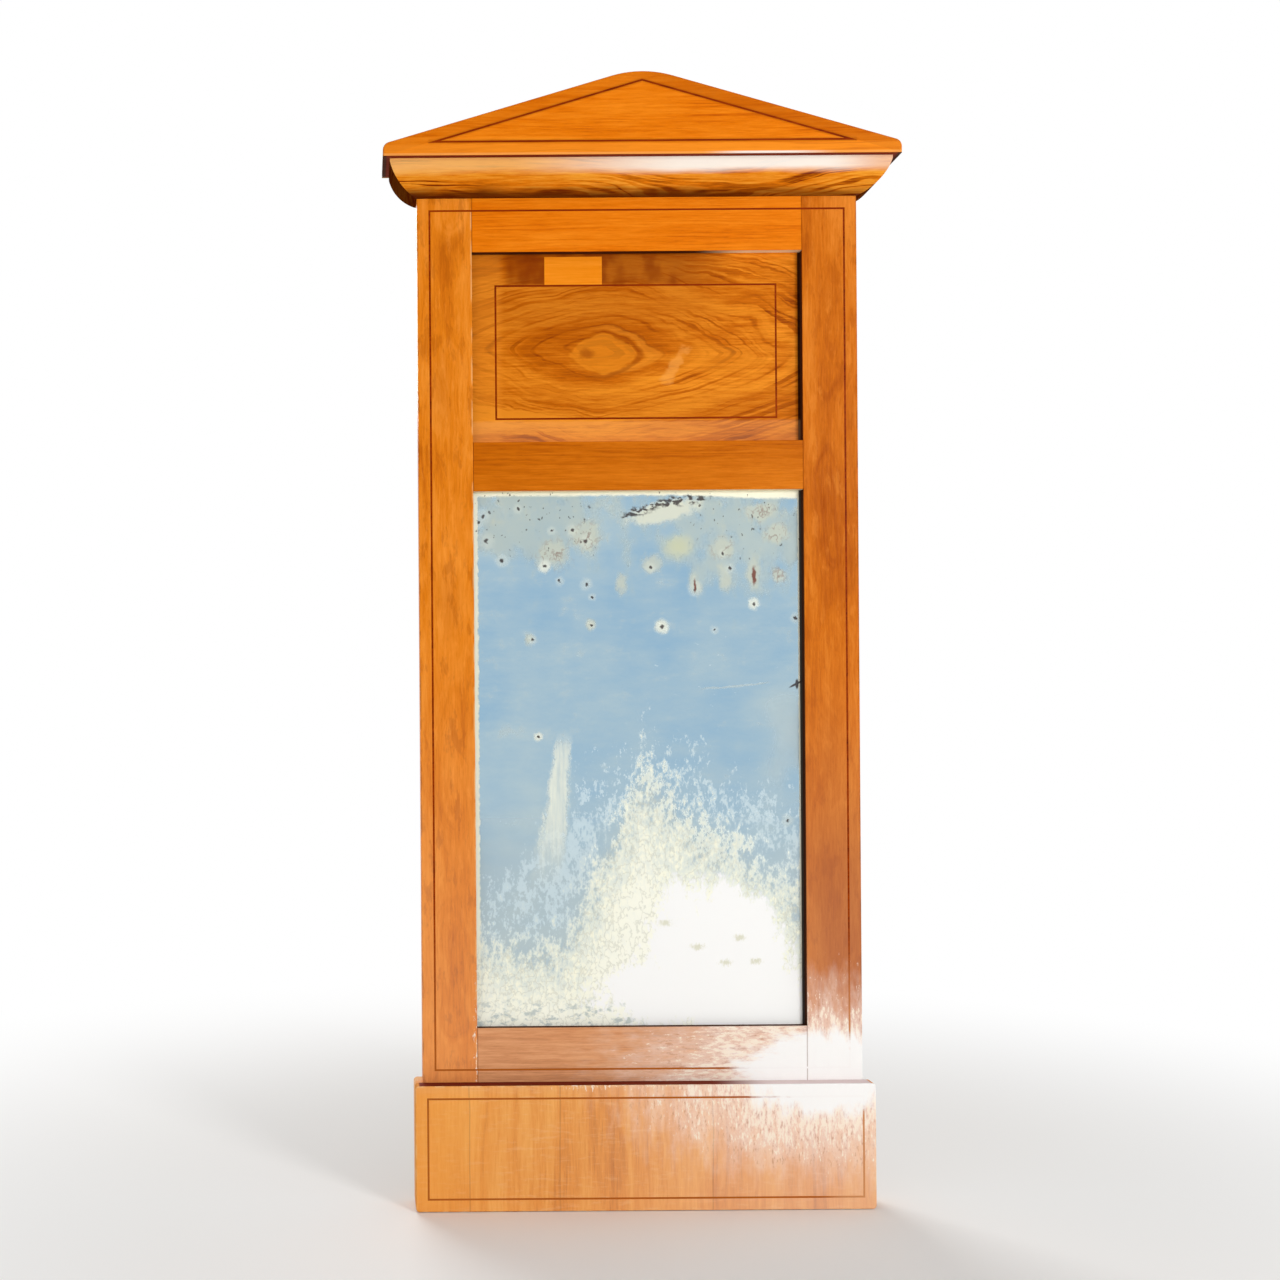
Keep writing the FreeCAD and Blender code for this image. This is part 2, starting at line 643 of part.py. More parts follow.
# Write the nodes
save("left_stile", other_side(right_stile))
save("right_stile", right_stile)
save("top_rail", rails["top"])
save("middle_rail", rails["middle"])
save("bottom_rail", rails["bottom"])
save("tenon_pegs", *both_sides([peg for span in tenon_spans.values() for peg in tenon_pegs(span)]))
save("left_stile_veneer", left_stile_veneer)
save("right_stile_veneer", right_stile_veneer)
save("top_rail_veneer", top_rail_veneer)
save("middle_rail_veneer", middle_rail_veneer)
save("bottom_rail_veneer", bottom_rail_veneer)
save("left_side_veneer", other_side(right_side_veneer))
save("right_side_veneer", right_side_veneer)
save("frame_stringing", *frame_strings)
save("frieze_panel", frieze_panel)
save("frieze_veneer", frieze_veneer)
save("frieze_stringing", *panel_strings)
save("frieze_patch", frieze_patch)
save("mirror_glass", mirror_glass)
save("glass_wedges", *glass_wedges)
for name, plank in zip(("left", "middle", "right"), planks):
    save("backboard_" + name, plank)
save("backboard_nails", *[cut_nail(x, z) for x, z in nail_places])
save("cornice_front", cornice_front_moulding)
save("cornice_left_return", other_side(cornice_right_return))
save("cornice_right_return", cornice_right_return)
save("cornice_screws", *[wood_screw(cornice_screw_length, place) for place in cornice_screw_places])
save("pediment_bed", pediment_bed)
save("pediment_dowels", *both_sides(right_dowels))
save("tympanum", tympanum)
save("pediment_veneer", pediment_veneer)
save("pediment_stringing", *pediment_strings)
save("left_roof_board", other_side(right_roof))
save("right_roof_board", right_roof)
save("pediment_ribs", *pediment_ribs)
save("plinth_board", plinth_board)
save("plinth_veneer", plinth_veneer)
save("plinth_stringing", *plinth_strings)
save("plinth_left_return", other_side(plinth_right_return))
save("plinth_right_return", plinth_right_return)
save("plinth_screws", *[wood_screw(plinth_screw_length, place) for place in plinth_screw_places])
save("plinth_glue_blocks", *both_sides([glue_block]))
save("left_hanger_strap", other_side(right_strap))
save("right_hanger_strap", right_strap)
save("left_hanger_ring", other_side(right_ring))
save("right_hanger_ring", right_ring)
save("hanger_screws", *both_sides([hanger_screw(place) for place in hanger_screw_places]))
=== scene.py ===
# %% [markdown]
# # A pediment mirror in honey-coloured veneer
# The object is a tall wall mirror: a veneered softwood frame with a plinth below, a fielded
# panel above the glass, a rounded cornice and a low triangular pediment. The joiner's shapes
# come ready-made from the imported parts, so this lesson is about finishes: how to make wood,
# old silvering and forged iron from nothing but numbers and noise.

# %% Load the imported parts
import math

import bmesh
import bpy
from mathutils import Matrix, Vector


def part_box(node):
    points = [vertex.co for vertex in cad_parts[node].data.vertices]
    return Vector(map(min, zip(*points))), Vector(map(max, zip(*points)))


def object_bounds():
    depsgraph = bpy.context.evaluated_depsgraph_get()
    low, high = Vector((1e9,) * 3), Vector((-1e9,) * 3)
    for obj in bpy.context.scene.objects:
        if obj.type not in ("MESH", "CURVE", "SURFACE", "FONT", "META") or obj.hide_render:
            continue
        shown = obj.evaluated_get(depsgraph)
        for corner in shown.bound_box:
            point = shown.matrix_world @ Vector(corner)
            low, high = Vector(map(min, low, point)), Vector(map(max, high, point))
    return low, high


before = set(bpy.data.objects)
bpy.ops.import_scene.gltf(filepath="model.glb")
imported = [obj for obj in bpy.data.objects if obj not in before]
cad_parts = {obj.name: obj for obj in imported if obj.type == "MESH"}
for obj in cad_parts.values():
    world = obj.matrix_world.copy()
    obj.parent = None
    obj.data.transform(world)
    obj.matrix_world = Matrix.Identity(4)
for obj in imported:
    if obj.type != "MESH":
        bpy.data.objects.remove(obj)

scene = bpy.context.scene
cad_low, cad_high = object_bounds()
print("parts:", len(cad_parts), "box from", tuple(cad_low), "to", tuple(cad_high))

# %% [markdown]
# ## The camera
# The photograph was taken from the left of the mirror and a little below its middle, with the
# camera pointing straight at the wall, so the uprights stay upright. A tilted camera would make
# them lean together. A lens shift slides the picture instead, which is what a view camera does.

# %% Camera
camera_place = (-0.300, -1.600, -0.385)
camera_roll = math.radians(0.416)
lens_length = 41.26
picture_shift = (0.2186, 0.0600)

camera = bpy.data.objects.new("Camera", bpy.data.cameras.new("Camera"))
camera.location = camera_place
camera.rotation_euler = (math.radians(90), camera_roll, 0)
camera.data.sensor_width = 36
camera.data.lens = lens_length
camera.data.shift_x, camera.data.shift_y = picture_shift
scene.collection.objects.link(camera)
scene.camera = camera
print("camera at", camera_place, "with a", lens_length, "mm lens")

# %% [markdown]
# ## Sums on sockets
# A shader is a sum over the surface, and sums are easier to read as Python than as boxes and
# wires. The small class below wraps one output of a node. Adding two wires adds a Math node, and
# `1 - mask` works too, because the reflected forms are there. Every other node comes from `node`.


# %% A wire that can be added and multiplied
class Wire:
    """One output socket of a node; a sum on wires adds the Math nodes that work it out."""

    def __init__(self, socket):
        self.socket = socket

    def node(self, kind, settings=None, sockets=None, out=0):
        """Add any node: its settings first, then its sockets' values or wires by name or number."""
        made = self.socket.id_data.nodes.new(kind)
        for name, value in (settings or {}).items():
            if name == "stops":
                set_stops(made.color_ramp.elements, value)
            else:
                setattr(made, name, value)
        for name, value in (sockets or {}).items():
            feed(made.inputs[name], value)
        return Wire(made.outputs[out])

    def sum(self, operation, *terms):
        """Add a Math node over the terms."""
        return self.node("ShaderNodeMath", {"operation": operation}, dict(enumerate(terms)))

    def __add__(self, other):
        return self.sum("ADD", self, other)

    def __sub__(self, other):
        return self.sum("SUBTRACT", self, other)

    def __rsub__(self, other):
        return self.sum("SUBTRACT", other, self)

    def __mul__(self, other):
        return self.sum("MULTIPLY", self, other)

    def __truediv__(self, other):
        return self.sum("DIVIDE", self, other)

    def __pow__(self, other):
        return self.sum("POWER", self, other)

    def __abs__(self):
        return self.sum("ABSOLUTE", self)

    __radd__ = __add__
    __rmul__ = __mul__


def feed(socket, value):
    """Give a socket a wire or a plain value."""
    if isinstance(value, Wire):
        socket.id_data.links.new(value.socket, socket)
    else:
        socket.default_value = value


def set_stops(elements, stops):
    """Put a colour ramp's stops at (place, colour) pairs, lowest first."""
    while len(elements) < len(stops):
        elements.new(1)
    for element, (place, colour) in zip(elements, stops):
        element.position = place
        element.color = colour


print("wires can be summed with + - * / ** and abs()")

# %% [markdown]
# A few more words make the sums read like a recipe. Colours are written as on a paint card, from
# 0 to 255, and turned into the linear light that Blender adds up in. A soft step could be a
# colour ramp with two stops, but Map Range takes its limits as plain numbers, which read better.


# %% Words for colours and masks
def linear(step):
    """One paint-card step, from 0 to 255, as a share of linear light."""
    return ((step / 255 + 0.055) / 1.055) ** 2.4 if step > 10 else step / 3294.6


def srgb(*card):
    """A paint-card colour in linear light."""
    return tuple(linear(step) for step in card) + (1.0,)


def rise(value, low, high):
    """0 below low, 1 above high, and a soft step between."""
    return value.node("ShaderNodeMapRange", {"interpolation_type": "SMOOTHSTEP"},
                      {0: value, 1: low, 2: high})


def most(first, *others):
    """The greatest of several wires."""
    for other in others:
        first = first.sum("MAXIMUM", first, other)
    return first


def tint(share, first, second):
    """From the first colour to the second as share goes from 0 to 1."""
    return share.node("ShaderNodeMix", {"data_type": "RGBA"},
                      {0: share, 6: first, 7: second}, out=2)


def ramp(value, stops):
    """A colour ramp over (place, colour) stops."""
    return value.node("ShaderNodeValToRGB", {"stops": stops}, {0: value})


print("card step 128 is", round(linear(128), 3), "in linear light")

# %% [markdown]
# Wood has a direction, so its noise is read at a squeezed place: slow along the grain and fast
# across it. All places are in millimetres on the mirror, because a maker thinks of a pore as half
# a millimetre wide and not as a share of a texture. The parts share one frame, so a stain runs on
# from one part to the next.


# %% Words for places
def axes(place):
    """The x, y and z of a place."""
    split = place.node("ShaderNodeSeparateXYZ", sockets={0: place})
    return [Wire(out) for out in split.socket.node.outputs]


def moved(place, step):
    """A place moved by a step."""
    return place.node("ShaderNodeVectorMath", {"operation": "ADD"}, {0: place, 1: step})


def stretch(place, grain, along, across):
    """A place counted in grain lengths along one axis and in grain widths along the other two."""
    scale = [1 / along if axis == grain else 1 / across for axis in "xyz"]
    return place.node("ShaderNodeVectorMath", {"operation": "MULTIPLY"}, {0: place, 1: scale})


def sway(place, detail=2.0, roughness=0.5):
    """Smooth noise about zero, mostly within a half either way, with its grains one unit apart."""
    noise = place.node("ShaderNodeTexNoise", None,
                       {"Vector": place, "Scale": 1.0, "Detail": detail, "Roughness": roughness})
    return (noise - 0.5) * 3


def length(first, second):
    """The long side of a right triangle."""
    return (first * first + second * second) ** 0.5


def oval(x, z, mid_x, mid_z, half_width, half_height):
    """0 in the middle of an oval on the front, 1 on its rim, and more outside."""
    return length((x - mid_x) / half_width, (z - mid_z) / half_height)


print("x runs to the right, y to the back and z upwards")

# %% [markdown]
# A finish is one material. `begin` starts it from the place on the piece, `wear_finish` puts it
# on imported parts, and `edges` measures a part, so that wear can follow its real outline.

# %% Words for finishes
mm_per_metre = 1000.0


def begin(name):
    """A new finish: its material, its shader, and the place on the piece in millimetres."""
    finish = bpy.data.materials.new(name)
    finish.use_nodes = True
    shader = finish.node_tree.nodes["Principled BSDF"]
    where = Wire(finish.node_tree.nodes.new("ShaderNodeTexCoord").outputs["Object"])
    place = where.node("ShaderNodeVectorMath", {"operation": "SCALE"},
                       {0: where, "Scale": mm_per_metre})
    return finish, shader, place


def wear_finish(finish, *nodes):
    """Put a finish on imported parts."""
    for node in nodes:
        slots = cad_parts[node].data.materials
        slots.clear()
        slots.append(finish)
    print(finish.name, "on", ", ".join(nodes))


def edges(node):
    """A part's lowest and highest corner in millimetres."""
    return [tuple(mm_per_metre * side for side in corner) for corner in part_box(node)]


print("plate in mm:", [round(high - low, 1) for low, high in zip(*edges("mirror_glass"))])

# %% [markdown]
# ## The studio
# The world is white to the camera and to reflections, and dimmer as a light, so that the shadows
# keep some depth. A brighter world would whiten the background too, but it would bleach the wood
# as well. The Light Path node tells the two kinds of ray apart.

# %% World
studio_light = 0.5

world = bpy.data.worlds.new("Studio")
scene.world = world
world.use_nodes = True
scene.view_settings.view_transform = "Standard"
paper = world.node_tree.nodes["Background"]
paper.inputs["Color"].default_value = (1, 1, 1, 1)


def seen_rays(tree):
    """1 for rays that look at something, and 0 for those that only light it."""
    rays = tree.nodes.new("ShaderNodeLightPath").outputs
    return most(*[Wire(rays[f"Is {kind} Ray"]) for kind in ("Camera", "Glossy", "Transmission")])


feed(paper.inputs["Strength"], studio_light + (1 - studio_light) * seen_rays(world.node_tree))
print("world light", studio_light)

# %% [markdown]
# ### Lamps
# A soft lamp stands to the right, as the sun did, a weaker and broader one fills in from the
# left, and a third lights the back. A sun lamp would be simpler, but its shadows have hard edges.
# A square lamp with some width softens them, as a studio's box lamp does.

# %% Lamps
# Each lamp has its place and its width in metres, and its watts.
lamps = {
    "right_lamp": ((1.6, -2.6, 0.3), 0.7, 42.0),
    "left_lamp": ((-2.1, -2.2, 0.6), 1.8, 3.0),
    "back_lamp": ((-0.8, 2.3, 1.2), 1.6, 44.0),
}
aim = (cad_low + cad_high) / 2
for name, (spot, width, watts) in lamps.items():
    lamp = bpy.data.objects.new(name, bpy.data.lights.new(name, "AREA"))
    lamp.data.size = width
    lamp.data.energy = watts
    lamp.location = spot
    lamp.rotation_euler = (aim - lamp.location).to_track_quat("-Z", "Y").to_euler()
    scene.collection.objects.link(lamp)
print("lamps:", ", ".join(lamps))

# %% [markdown]
# ### Floor
# The floor is a plain pale disc, a hair below the foot so that the two faces don't fight. It
# keeps the mirror's shadow. Far from the mirror it turns into white light, so that no horizon
# shows. A curved paper backdrop would hide the horizon too, but it would block other views.

# %% Floor
floor_radius = 9.0
floor_sides = 96
floor_gap = 0.0005
floor_shape = bmesh.new()
bmesh.ops.create_circle(floor_shape, cap_ends=True, segments=floor_sides, radius=floor_radius)
floor_mesh = bpy.data.meshes.new("floor")
floor_shape.to_mesh(floor_mesh)
floor_shape.free()
floor = bpy.data.objects.new("floor", floor_mesh)
floor.location.z = cad_low.z - floor_gap
scene.collection.objects.link(floor)
print("floor at", round(floor.location.z, 4))

# %% Floor finish
pale_until, white_from = 450, 1400

floor_finish, floor_shader, floor_place = begin("pale floor")
floor_shader.inputs["Base Color"].default_value = srgb(240, 239, 237)
floor_shader.inputs["Roughness"].default_value = 0.85
floor_shader.inputs["Specular IOR Level"].default_value = 0.1
floor_x, floor_y, _ = axes(floor_place)
far_off = rise(length(floor_x, floor_y), pale_until, white_from)
far_off = far_off * seen_rays(floor_finish.node_tree)
glow = far_off.node("ShaderNodeEmission", None, {"Color": (1, 1, 1, 1), "Strength": 1.0})
mixed = far_off.node("ShaderNodeMixShader", None,
                     {0: far_off, 1: Wire(floor_shader.outputs[0]), 2: glow})
feed(floor_finish.node_tree.nodes["Material Output"].inputs["Surface"], mixed)
floor.data.materials.append(floor_finish)
print("floor white from", white_from, "mm")

# %% [markdown]
# ## Wood from growth rings
# A board is a slice through a tree, so its figure is the pattern of growth rings where the slice
# meets them. If `growth` is the distance from the heart of the tree, a noise read along `growth`
# gives bands of uneven width that follow the rings. Straight growth makes stripes, a wandering
# heart makes pointed arches, and a bulge makes the eyes of a figured panel. Thin year lines that
# come and go, fibre, pores and a slow clouding come on top, and one ramp of three tones turns the
# lot into colour.

# %% One board of timber
mid_shade = 0.43
usual_years = 0.22


def timber(place, grain, growth, band, tones, seed, figure=0.4, lines=0.3, clouds=0.25, fine=0.28):
    """Colour, pores and fibre of a board, from its growth in millimetres."""
    spot = moved(place, (seed * 37.0, seed * 53.0, seed * 71.0))
    along = axes(spot)["xyz".index(grain)]

    def ring_noise(width, run, detail):
        """Noise that keeps its value along a ring."""
        rings = growth.node("ShaderNodeCombineXYZ", None,
                            {0: growth / width, 1: along / run, 2: seed})
        return sway(rings, detail, 0.6)

    bands = ring_noise(band, 500, 3)
    fading = sway(stretch(spot, grain, 110, 26), 2)
    years = rise(ring_noise(band * 0.3, 260, 1), 0.0, 0.42) * rise(fading, -0.5, 0.45)
    fibre = sway(stretch(spot, grain, 34, 2.2), 4, 0.7)
    cloud = sway(stretch(spot, grain, 170, 45), 3)
    pores = rise(sway(stretch(spot, grain, 9, 0.6)), 0.2, 0.55)
    shade = mid_shade + figure * bands + lines * (years - usual_years) + fine * fibre
    shade = shade + clouds * cloud + 0.1 * pores
    pale, middle, dark = tones
    return ramp(shade, [(0, pale), (0.5, middle), (1, dark)]), pores, fibre


print("timber: bands, year lines, fibre, clouds and pores about a shade of", mid_shade)

# %% [markdown]
# ### Polish
# The veneer was finished with thin shellac, which has sunk into the pores and lost most of its
# shine. A clear coat over the whole front would lay a white veil on the deep orange, so the shine
# is kept low, and only pieces that still gleam get a coat of their own. Where an edge has been
# rubbed, the polish is gone and paler wood shows in broken lines.

# %% Sunken polish
pore_depth = 0.0004


def polish(shader, colour, pores, fibre, gloss=0.34, shine=0.03):
    """Thin polish over wood: dull in the pores and uneven along the fibre."""
    feed(shader.inputs["Base Color"], colour)
    feed(shader.inputs["Roughness"], gloss + 0.1 * fibre + 0.25 * pores)
    shader.inputs["Specular IOR Level"].default_value = shine
    relief = 0.4 * fibre - pores
    bump = relief.node("ShaderNodeBump", None,
                       {"Strength": 0.3, "Distance": pore_depth, "Height": relief})
    feed(shader.inputs["Normal"], bump)


def rubbed_edges(place, node, colour, pale, sides):
    """Paler wood, in broken lines, along the named sides of a part."""
    (left, _, foot), (right, _, top) = edges(node)
    x, _, z = axes(place)
    gaps = {"left": x - left, "right": right - x, "foot": z - foot, "top": top - z}
    near = most(*[1 - rise(gaps[side], 0.3, 2.2) for side in sides])
    broken = rise(sway(stretch(place, "z", 24, 11), 3), -0.2, 0.35)
    return tint(0.45 * near * broken, colour, pale)


print("polish sinks", pore_depth * mm_per_metre, "mm into the pores")

# %% [markdown]
# ### Damp and painted glare
# Damp has dulled the polish near the foot, and has flaked into pale crumbs where hands and brooms
# have knocked it. Over the lower right lies a painted glare: milky, and white at the corner. All
# the fronts share one recipe, because neither stops at a joint: a soft haze that grows downwards,
# two ovals of painted glare with ragged edges, and flecks that crowd where a mask says so.

# %% Haze, painted glare and flecks
plinth_top = -780
# An oval has its middle, half its width and half its height.
# Both ovals are painted glare: white at the corner, milky around it.
glare_white_oval = (192, -768, 95, 46)
glare_milky_oval = (190, -772, 240, 112)


def ragged(place, grain):
    """Noise that frays the rim of a stain along the grain."""
    return sway(stretch(place, grain, 34, 13), 4, 0.65) * 0.3


def glare_whitened(place, colour, grain):
    """A front's colour with a painted glare that whitens its lower right corner."""
    x, _, z = axes(place)
    white = 1 - rise(oval(x, z, *glare_white_oval) + ragged(place, grain), 0.7, 1.12)
    return tint(0.97 * white, colour, srgb(255, 254, 252))


def weathered_and_glared(place, colour, grain, chips=None):
    """Damp haze, a milky painted glare at the lower right, and flecks where chips is high."""
    x, _, z = axes(place)
    haze = (0.08 + 0.06 * rise(z, plinth_top - 10, plinth_top)) * (1 - rise(z, -800, -250))
    colour = tint(haze, colour, srgb(232, 206, 188))
    # Painted glare: milky over the lower right.
    glow = 1 - rise(oval(x, z, *glare_milky_oval) + ragged(place, grain), 0.2, 1.15)
    colour = tint(0.84 * glow, colour, srgb(252, 234, 222))
    crumbs = sway(stretch(place, grain, 12, 3.4), 4, 0.75)
    brown = rise(-1 * crumbs, 0.12, 0.5) * rise(glow, 0.1, 0.5)
    colour = tint(0.5 * brown, colour, srgb(186, 112, 66))
    crowd = glow * 0.8 if chips is None else most(glow * 0.8, chips)
    flecks = rise(crumbs + crowd, 0.6, 0.78) * rise(crowd, 0.05, 0.25)
    colour = tint(0.85 * flecks, colour, srgb(255, 240, 220))
    return glare_whitened(place, colour, grain)


# The white and milky ovals printed here are the painted glare.
print("polish white around", glare_white_oval[:2], "and milky around", glare_milky_oval[:2])

# %% [markdown]
# ### The stiles
# The two uprights carry veneer cut near the heart of the tree, with the grain upright. Their
# figure is soft: long ovals and pointed arches, where the heart comes near the face and goes away
# again. A cosine along the length makes it come and go, and noise makes it lean.

# %% Growth of an upright board
face_y = -28
arch_run = 33


def upright_growth(place, heart_x, bud, seed):
    """Distance from an upright heart that comes near the face at a height called bud."""
    x, y, z = axes(place)
    lean = sway(stretch(moved(place, (seed * 19.0, 0.0, seed * 11.0)), "z", 130, 44), 2) * 11
    slide = sway(stretch(moved(place, (0.0, 0.0, seed * 70.0)), "z", 120, 400), 1) * 2.2
    turn = (z - bud) / arch_run + slide
    depth = 11 - 9 * turn.sum("COSINE", turn)
    return length(x - heart_x + lean, y - face_y - depth) + lean * 0.6


print("an arch every", round(2 * math.pi * arch_run), "mm of height")

# %% [markdown]
# Each upright has three marks of its own, where the rings swell round a hidden knot. They could
# be drawn as stains, but a bulge added to the growth bends the rings round it as a knot does.
# Soft blotches come next, then a browned stretch low on the right, and rubbed or darkened outer
# edges. The damp and the painted glare come last, over everything.

# %% Stile and side veneer
left_honey = (srgb(254, 158, 58), srgb(231, 129, 22), srgb(184, 84, 0))
right_honey = (srgb(240, 144, 50), srgb(212, 112, 18), srgb(164, 70, 0))
opening_edge = 177.0
bare_wood = srgb(255, 214, 150)
knots = {
    "left": ((-211, -36, 12, 52), (-201, 118, 17, 26), (-205, -262, 18, 46)),
    "right": ((206, 60, 15, 40), (214, -150, 11, 60), (203, -420, 15, 64)),
}

for side, heart_x, bud, seed, tones, swell in (
    ("left", -203.0, -32.0, 1.0, left_honey, 12),
    ("right", 208.0, 47.0, 2.6, right_honey, 8),
):
    for part in ("stile", "side"):
        node = f"{side}_{part}_veneer"
        finish, shader, place = begin(node.replace("_", " "))
        growth = upright_growth(place, heart_x, bud, seed)
        x, _, z = axes(place)
        bulges = [1 - rise(oval(x, z, *knot), 0, 1.3) for knot in knots[side]]
        for bulge in bulges:
            growth = growth + swell * bulge
        colour, pores, fibre = timber(place, "z", growth, 9.0, tones, seed, figure=0.28, lines=0.08,
                                      clouds=0.4, fine=0.26)
        colour = tint(0.2 * most(*bulges), colour, srgb(160, 68, 0))
        blotch = sway(stretch(moved(place, (0.0, 0.0, seed * 90.0)), "z", 42, 13), 4, 0.65)
        colour = tint(0.36 * rise(blotch, 0.1, 0.46), colour, srgb(170, 76, 0))
        colour = tint(0.36 * rise(-1 * blotch, 0.12, 0.5), colour, tones[0])
        knocked = (1 - rise(abs(x) - opening_edge, 1, 11)) * (1 - rise(z, -720, -600)) * 0.5
        chipped = 0.3 * rise(x, 170, 180) * (1 - rise(z, -700, -600))
        browned = rise(x, 150, 200) * rise(z, -750, -670) * (1 - rise(z, -600, -360))
        colour = tint(0.48 * browned, colour, srgb(150, 70, 14))
        if part == "stile":
            colour = rubbed_edges(place, node, colour, srgb(118, 50, 0), [side])
            if side == "left":
                colour = rubbed_edges(place, node, colour, bare_wood, ["right"])
        polish(shader, weathered_and_glared(place, colour, "z", most(knocked, chipped)), pores, fibre)
        wear_finish(finish, node)

# %% [markdown]
# ### The rails
# The cross pieces are straight-grained, with the grain along them, and a fine dark seam shows
# where they meet the stiles. The middle rail has darkened most, and the bottom one has faded. They
# differ only in tone and contrast, so one loop makes all three. The seam could be a groove, but on
# the real mirror it is flush, and a thin line in the colour is enough.


# %% Rail veneer
def level_growth(place, seed, waver=5.0):
    """Growth of a straight-grained board that lies level."""
    _, y, z = axes(place)
    spot = moved(place, (seed * 41.0, seed * 5.0, seed * 17.0))
    return z + y + sway(stretch(spot, "x", 240, 30), 2) * waver


seam_brown = srgb(120, 44, 0)
amber = (srgb(250, 142, 26), srgb(233, 120, 4), srgb(196, 84, 0))
umber = (srgb(224, 124, 22), srgb(203, 104, 4), srgb(166, 72, 0))
faded = (srgb(240, 172, 118), srgb(214, 138, 78), srgb(168, 92, 36))
for node, tones, seed, contrast in (
    ("top_rail_veneer", amber, 3.1, 0.9),
    ("middle_rail_veneer", umber, 4.3, 0.75),
    ("bottom_rail_veneer", faded, 5.2, 0.6),
):
    finish, shader, place = begin(node.replace("_", " "))
    colour, pores, fibre = timber(place, "x", level_growth(place, seed), 7.0, tones, seed,
                                  figure=0.36 * contrast, lines=0.25 * contrast, fine=0.4)
    x, _, _ = axes(place)
    seam = 1 - rise(opening_edge - abs(x), 0.4, 1.3)
    colour = tint(0.55 * seam, weathered_and_glared(place, colour, "x"), seam_brown)
    polish(shader, colour, pores, fibre)
    wear_finish(finish, node)

# %% [markdown]
# ### The pediment
# The gable front is one broad sheet with level grain, and its stripes are strongest along the
# lower edge. A pale line painted along the bottom arris, with a white glint on it, is a painted
# highlight, and the border outside the inlaid line has taken a darker tone. The border could be a
# part of its own, but it is one sheet with the rest, so a line worked out from the inlay's own box
# divides the two tones.

# %% Pediment veneer
finish, shader, place = begin("pediment veneer")
(_, _, gable_low), _ = edges("pediment_veneer")
(_, _, string_low), (string_right, _, string_high) = edges("pediment_stringing")
x, _, z = axes(place)
bold = 0.3 + 0.35 * (1 - rise(z, string_low - 3, string_low + 14))
colour, pores, fibre = timber(place, "x", level_growth(place, 6.4, 8.0), 8.0, amber, 6.4,
                              figure=bold, lines=bold, fine=0.45)
roof_line = string_high - (string_high - string_low) * abs(x) / string_right
beside_slopes = 1 - rise(abs(z - roof_line + 1), 1.2, 3.2) - rise(string_low - z, -1, 0)
beside_foot = 1 - rise(abs(z - string_low - 1), 1.2, 3.2) - rise(abs(x) - string_right, -2, 0)
colour = tint(0.3 * most(beside_slopes, beside_foot), colour, seam_brown)
border = rise(z - roof_line, -0.5, 0.5) * (0.2 + 0.22 * rise(x, -40, 60))
colour = tint(border, colour, srgb(168, 72, 0))
under_string = 1 - rise(z, string_low - 3, string_low)
colour = tint(0.5 * under_string, colour, srgb(252, 150, 40))
# Painted highlight: a pale line along the bottom arris, with a white glint on it.
lit_low_edge = 1 - rise(z, gable_low + 1.4, gable_low + 2.6)
colour = tint(0.6 * lit_low_edge, colour, srgb(255, 176, 92))
painted_glint = lit_low_edge * rise(x, 60, 110) * (1 - rise(x, 150, 210))
colour = tint(0.9 * painted_glint, colour, srgb(255, 246, 236))
polish(shader, colour, pores, fibre)
wear_finish(finish, "pediment_veneer")

# %% [markdown]
# ### The cornice
# The moulding is solid wood, and its rounded face cuts the rings into long level streaks, which
# sag like a hammock right of the middle. A highlight is painted on the upper part, white towards
# the light and warm away from it. Below, where the face turns down, painted shade darkens it, a
# little less to the right. How far the face leans back depends on the height alone, so height lays
# out both.

# %% Cornice
cornice_tones = (srgb(250, 168, 52), srgb(226, 124, 10), srgb(128, 46, 0))
# The dark brown of the painted shade, under the moulding and on its returns.
shade_umber = srgb(70, 18, 2)
(_, _, cornice_low), (_, _, cornice_high) = edges("cornice_front")


def moulding(name, grain):
    """Moulded wood with its grain along one axis, before any painted highlight or shade."""
    finish, shader, place = begin(name)
    x, _, z = axes(place)
    wave = sway(stretch(moved(place, (90.0, 0.0, 0.0)), grain, 130, 30), 2)
    growth = z + wave * 7 - 20 * rise(abs(x - 80), 0, 170)
    wood = timber(place, grain, growth, 8.0, cornice_tones, 7.7, figure=0.36, lines=0.62, fine=0.5)
    return finish, shader, place, *wood


finish, shader, place, colour, pores, fibre = moulding("cornice front", "x")
x, _, z = axes(place)
uneven = sway(stretch(place, "x", 60, 14), 3) * 3
# Painted highlight: white on the side towards the light, warm cream on the other.
toward_light = rise(x, -150, 60)
warm_highlight = 0.68 * rise(z + uneven, cornice_high - 18, cornice_high - 8) * (1 - toward_light)
colour = tint(warm_highlight, colour, srgb(255, 196, 118))
painted_gleam = 0.94 * rise(z + uneven * 0.6, cornice_high - 17, cornice_high - 9) * toward_light
painted_gleam = painted_gleam * (1 - 0.6 * rise(x, 190, 262))
colour = tint(painted_gleam, colour, srgb(255, 247, 236))
# Painted shade along the downturned underside, a little lighter to the right.
underside_shade = 1 - rise(z + uneven * 1.2, cornice_low + 0.5, cornice_low + 9)
colour = tint((0.9 - 0.2 * rise(x, 60, 200)) * underside_shade, colour, shade_umber)
polish(shader, colour, pores, fibre)
feed(shader.inputs["Coat Weight"], 0.4 * painted_gleam)
shader.inputs["Coat Roughness"].default_value = 0.15
wear_finish(finish, "cornice_front")

# %% [markdown]
# The returns at both ends are the same moulding, mitred round the corner, with the grain running
# back to the wall. They are painted nearly black, as painted shade. A plain black would look like a
# hole, so the wood stays under the painted shade and shows a little.

# %% Cornice returns
finish, shader, place, colour, pores, fibre = moulding("cornice returns", "y")
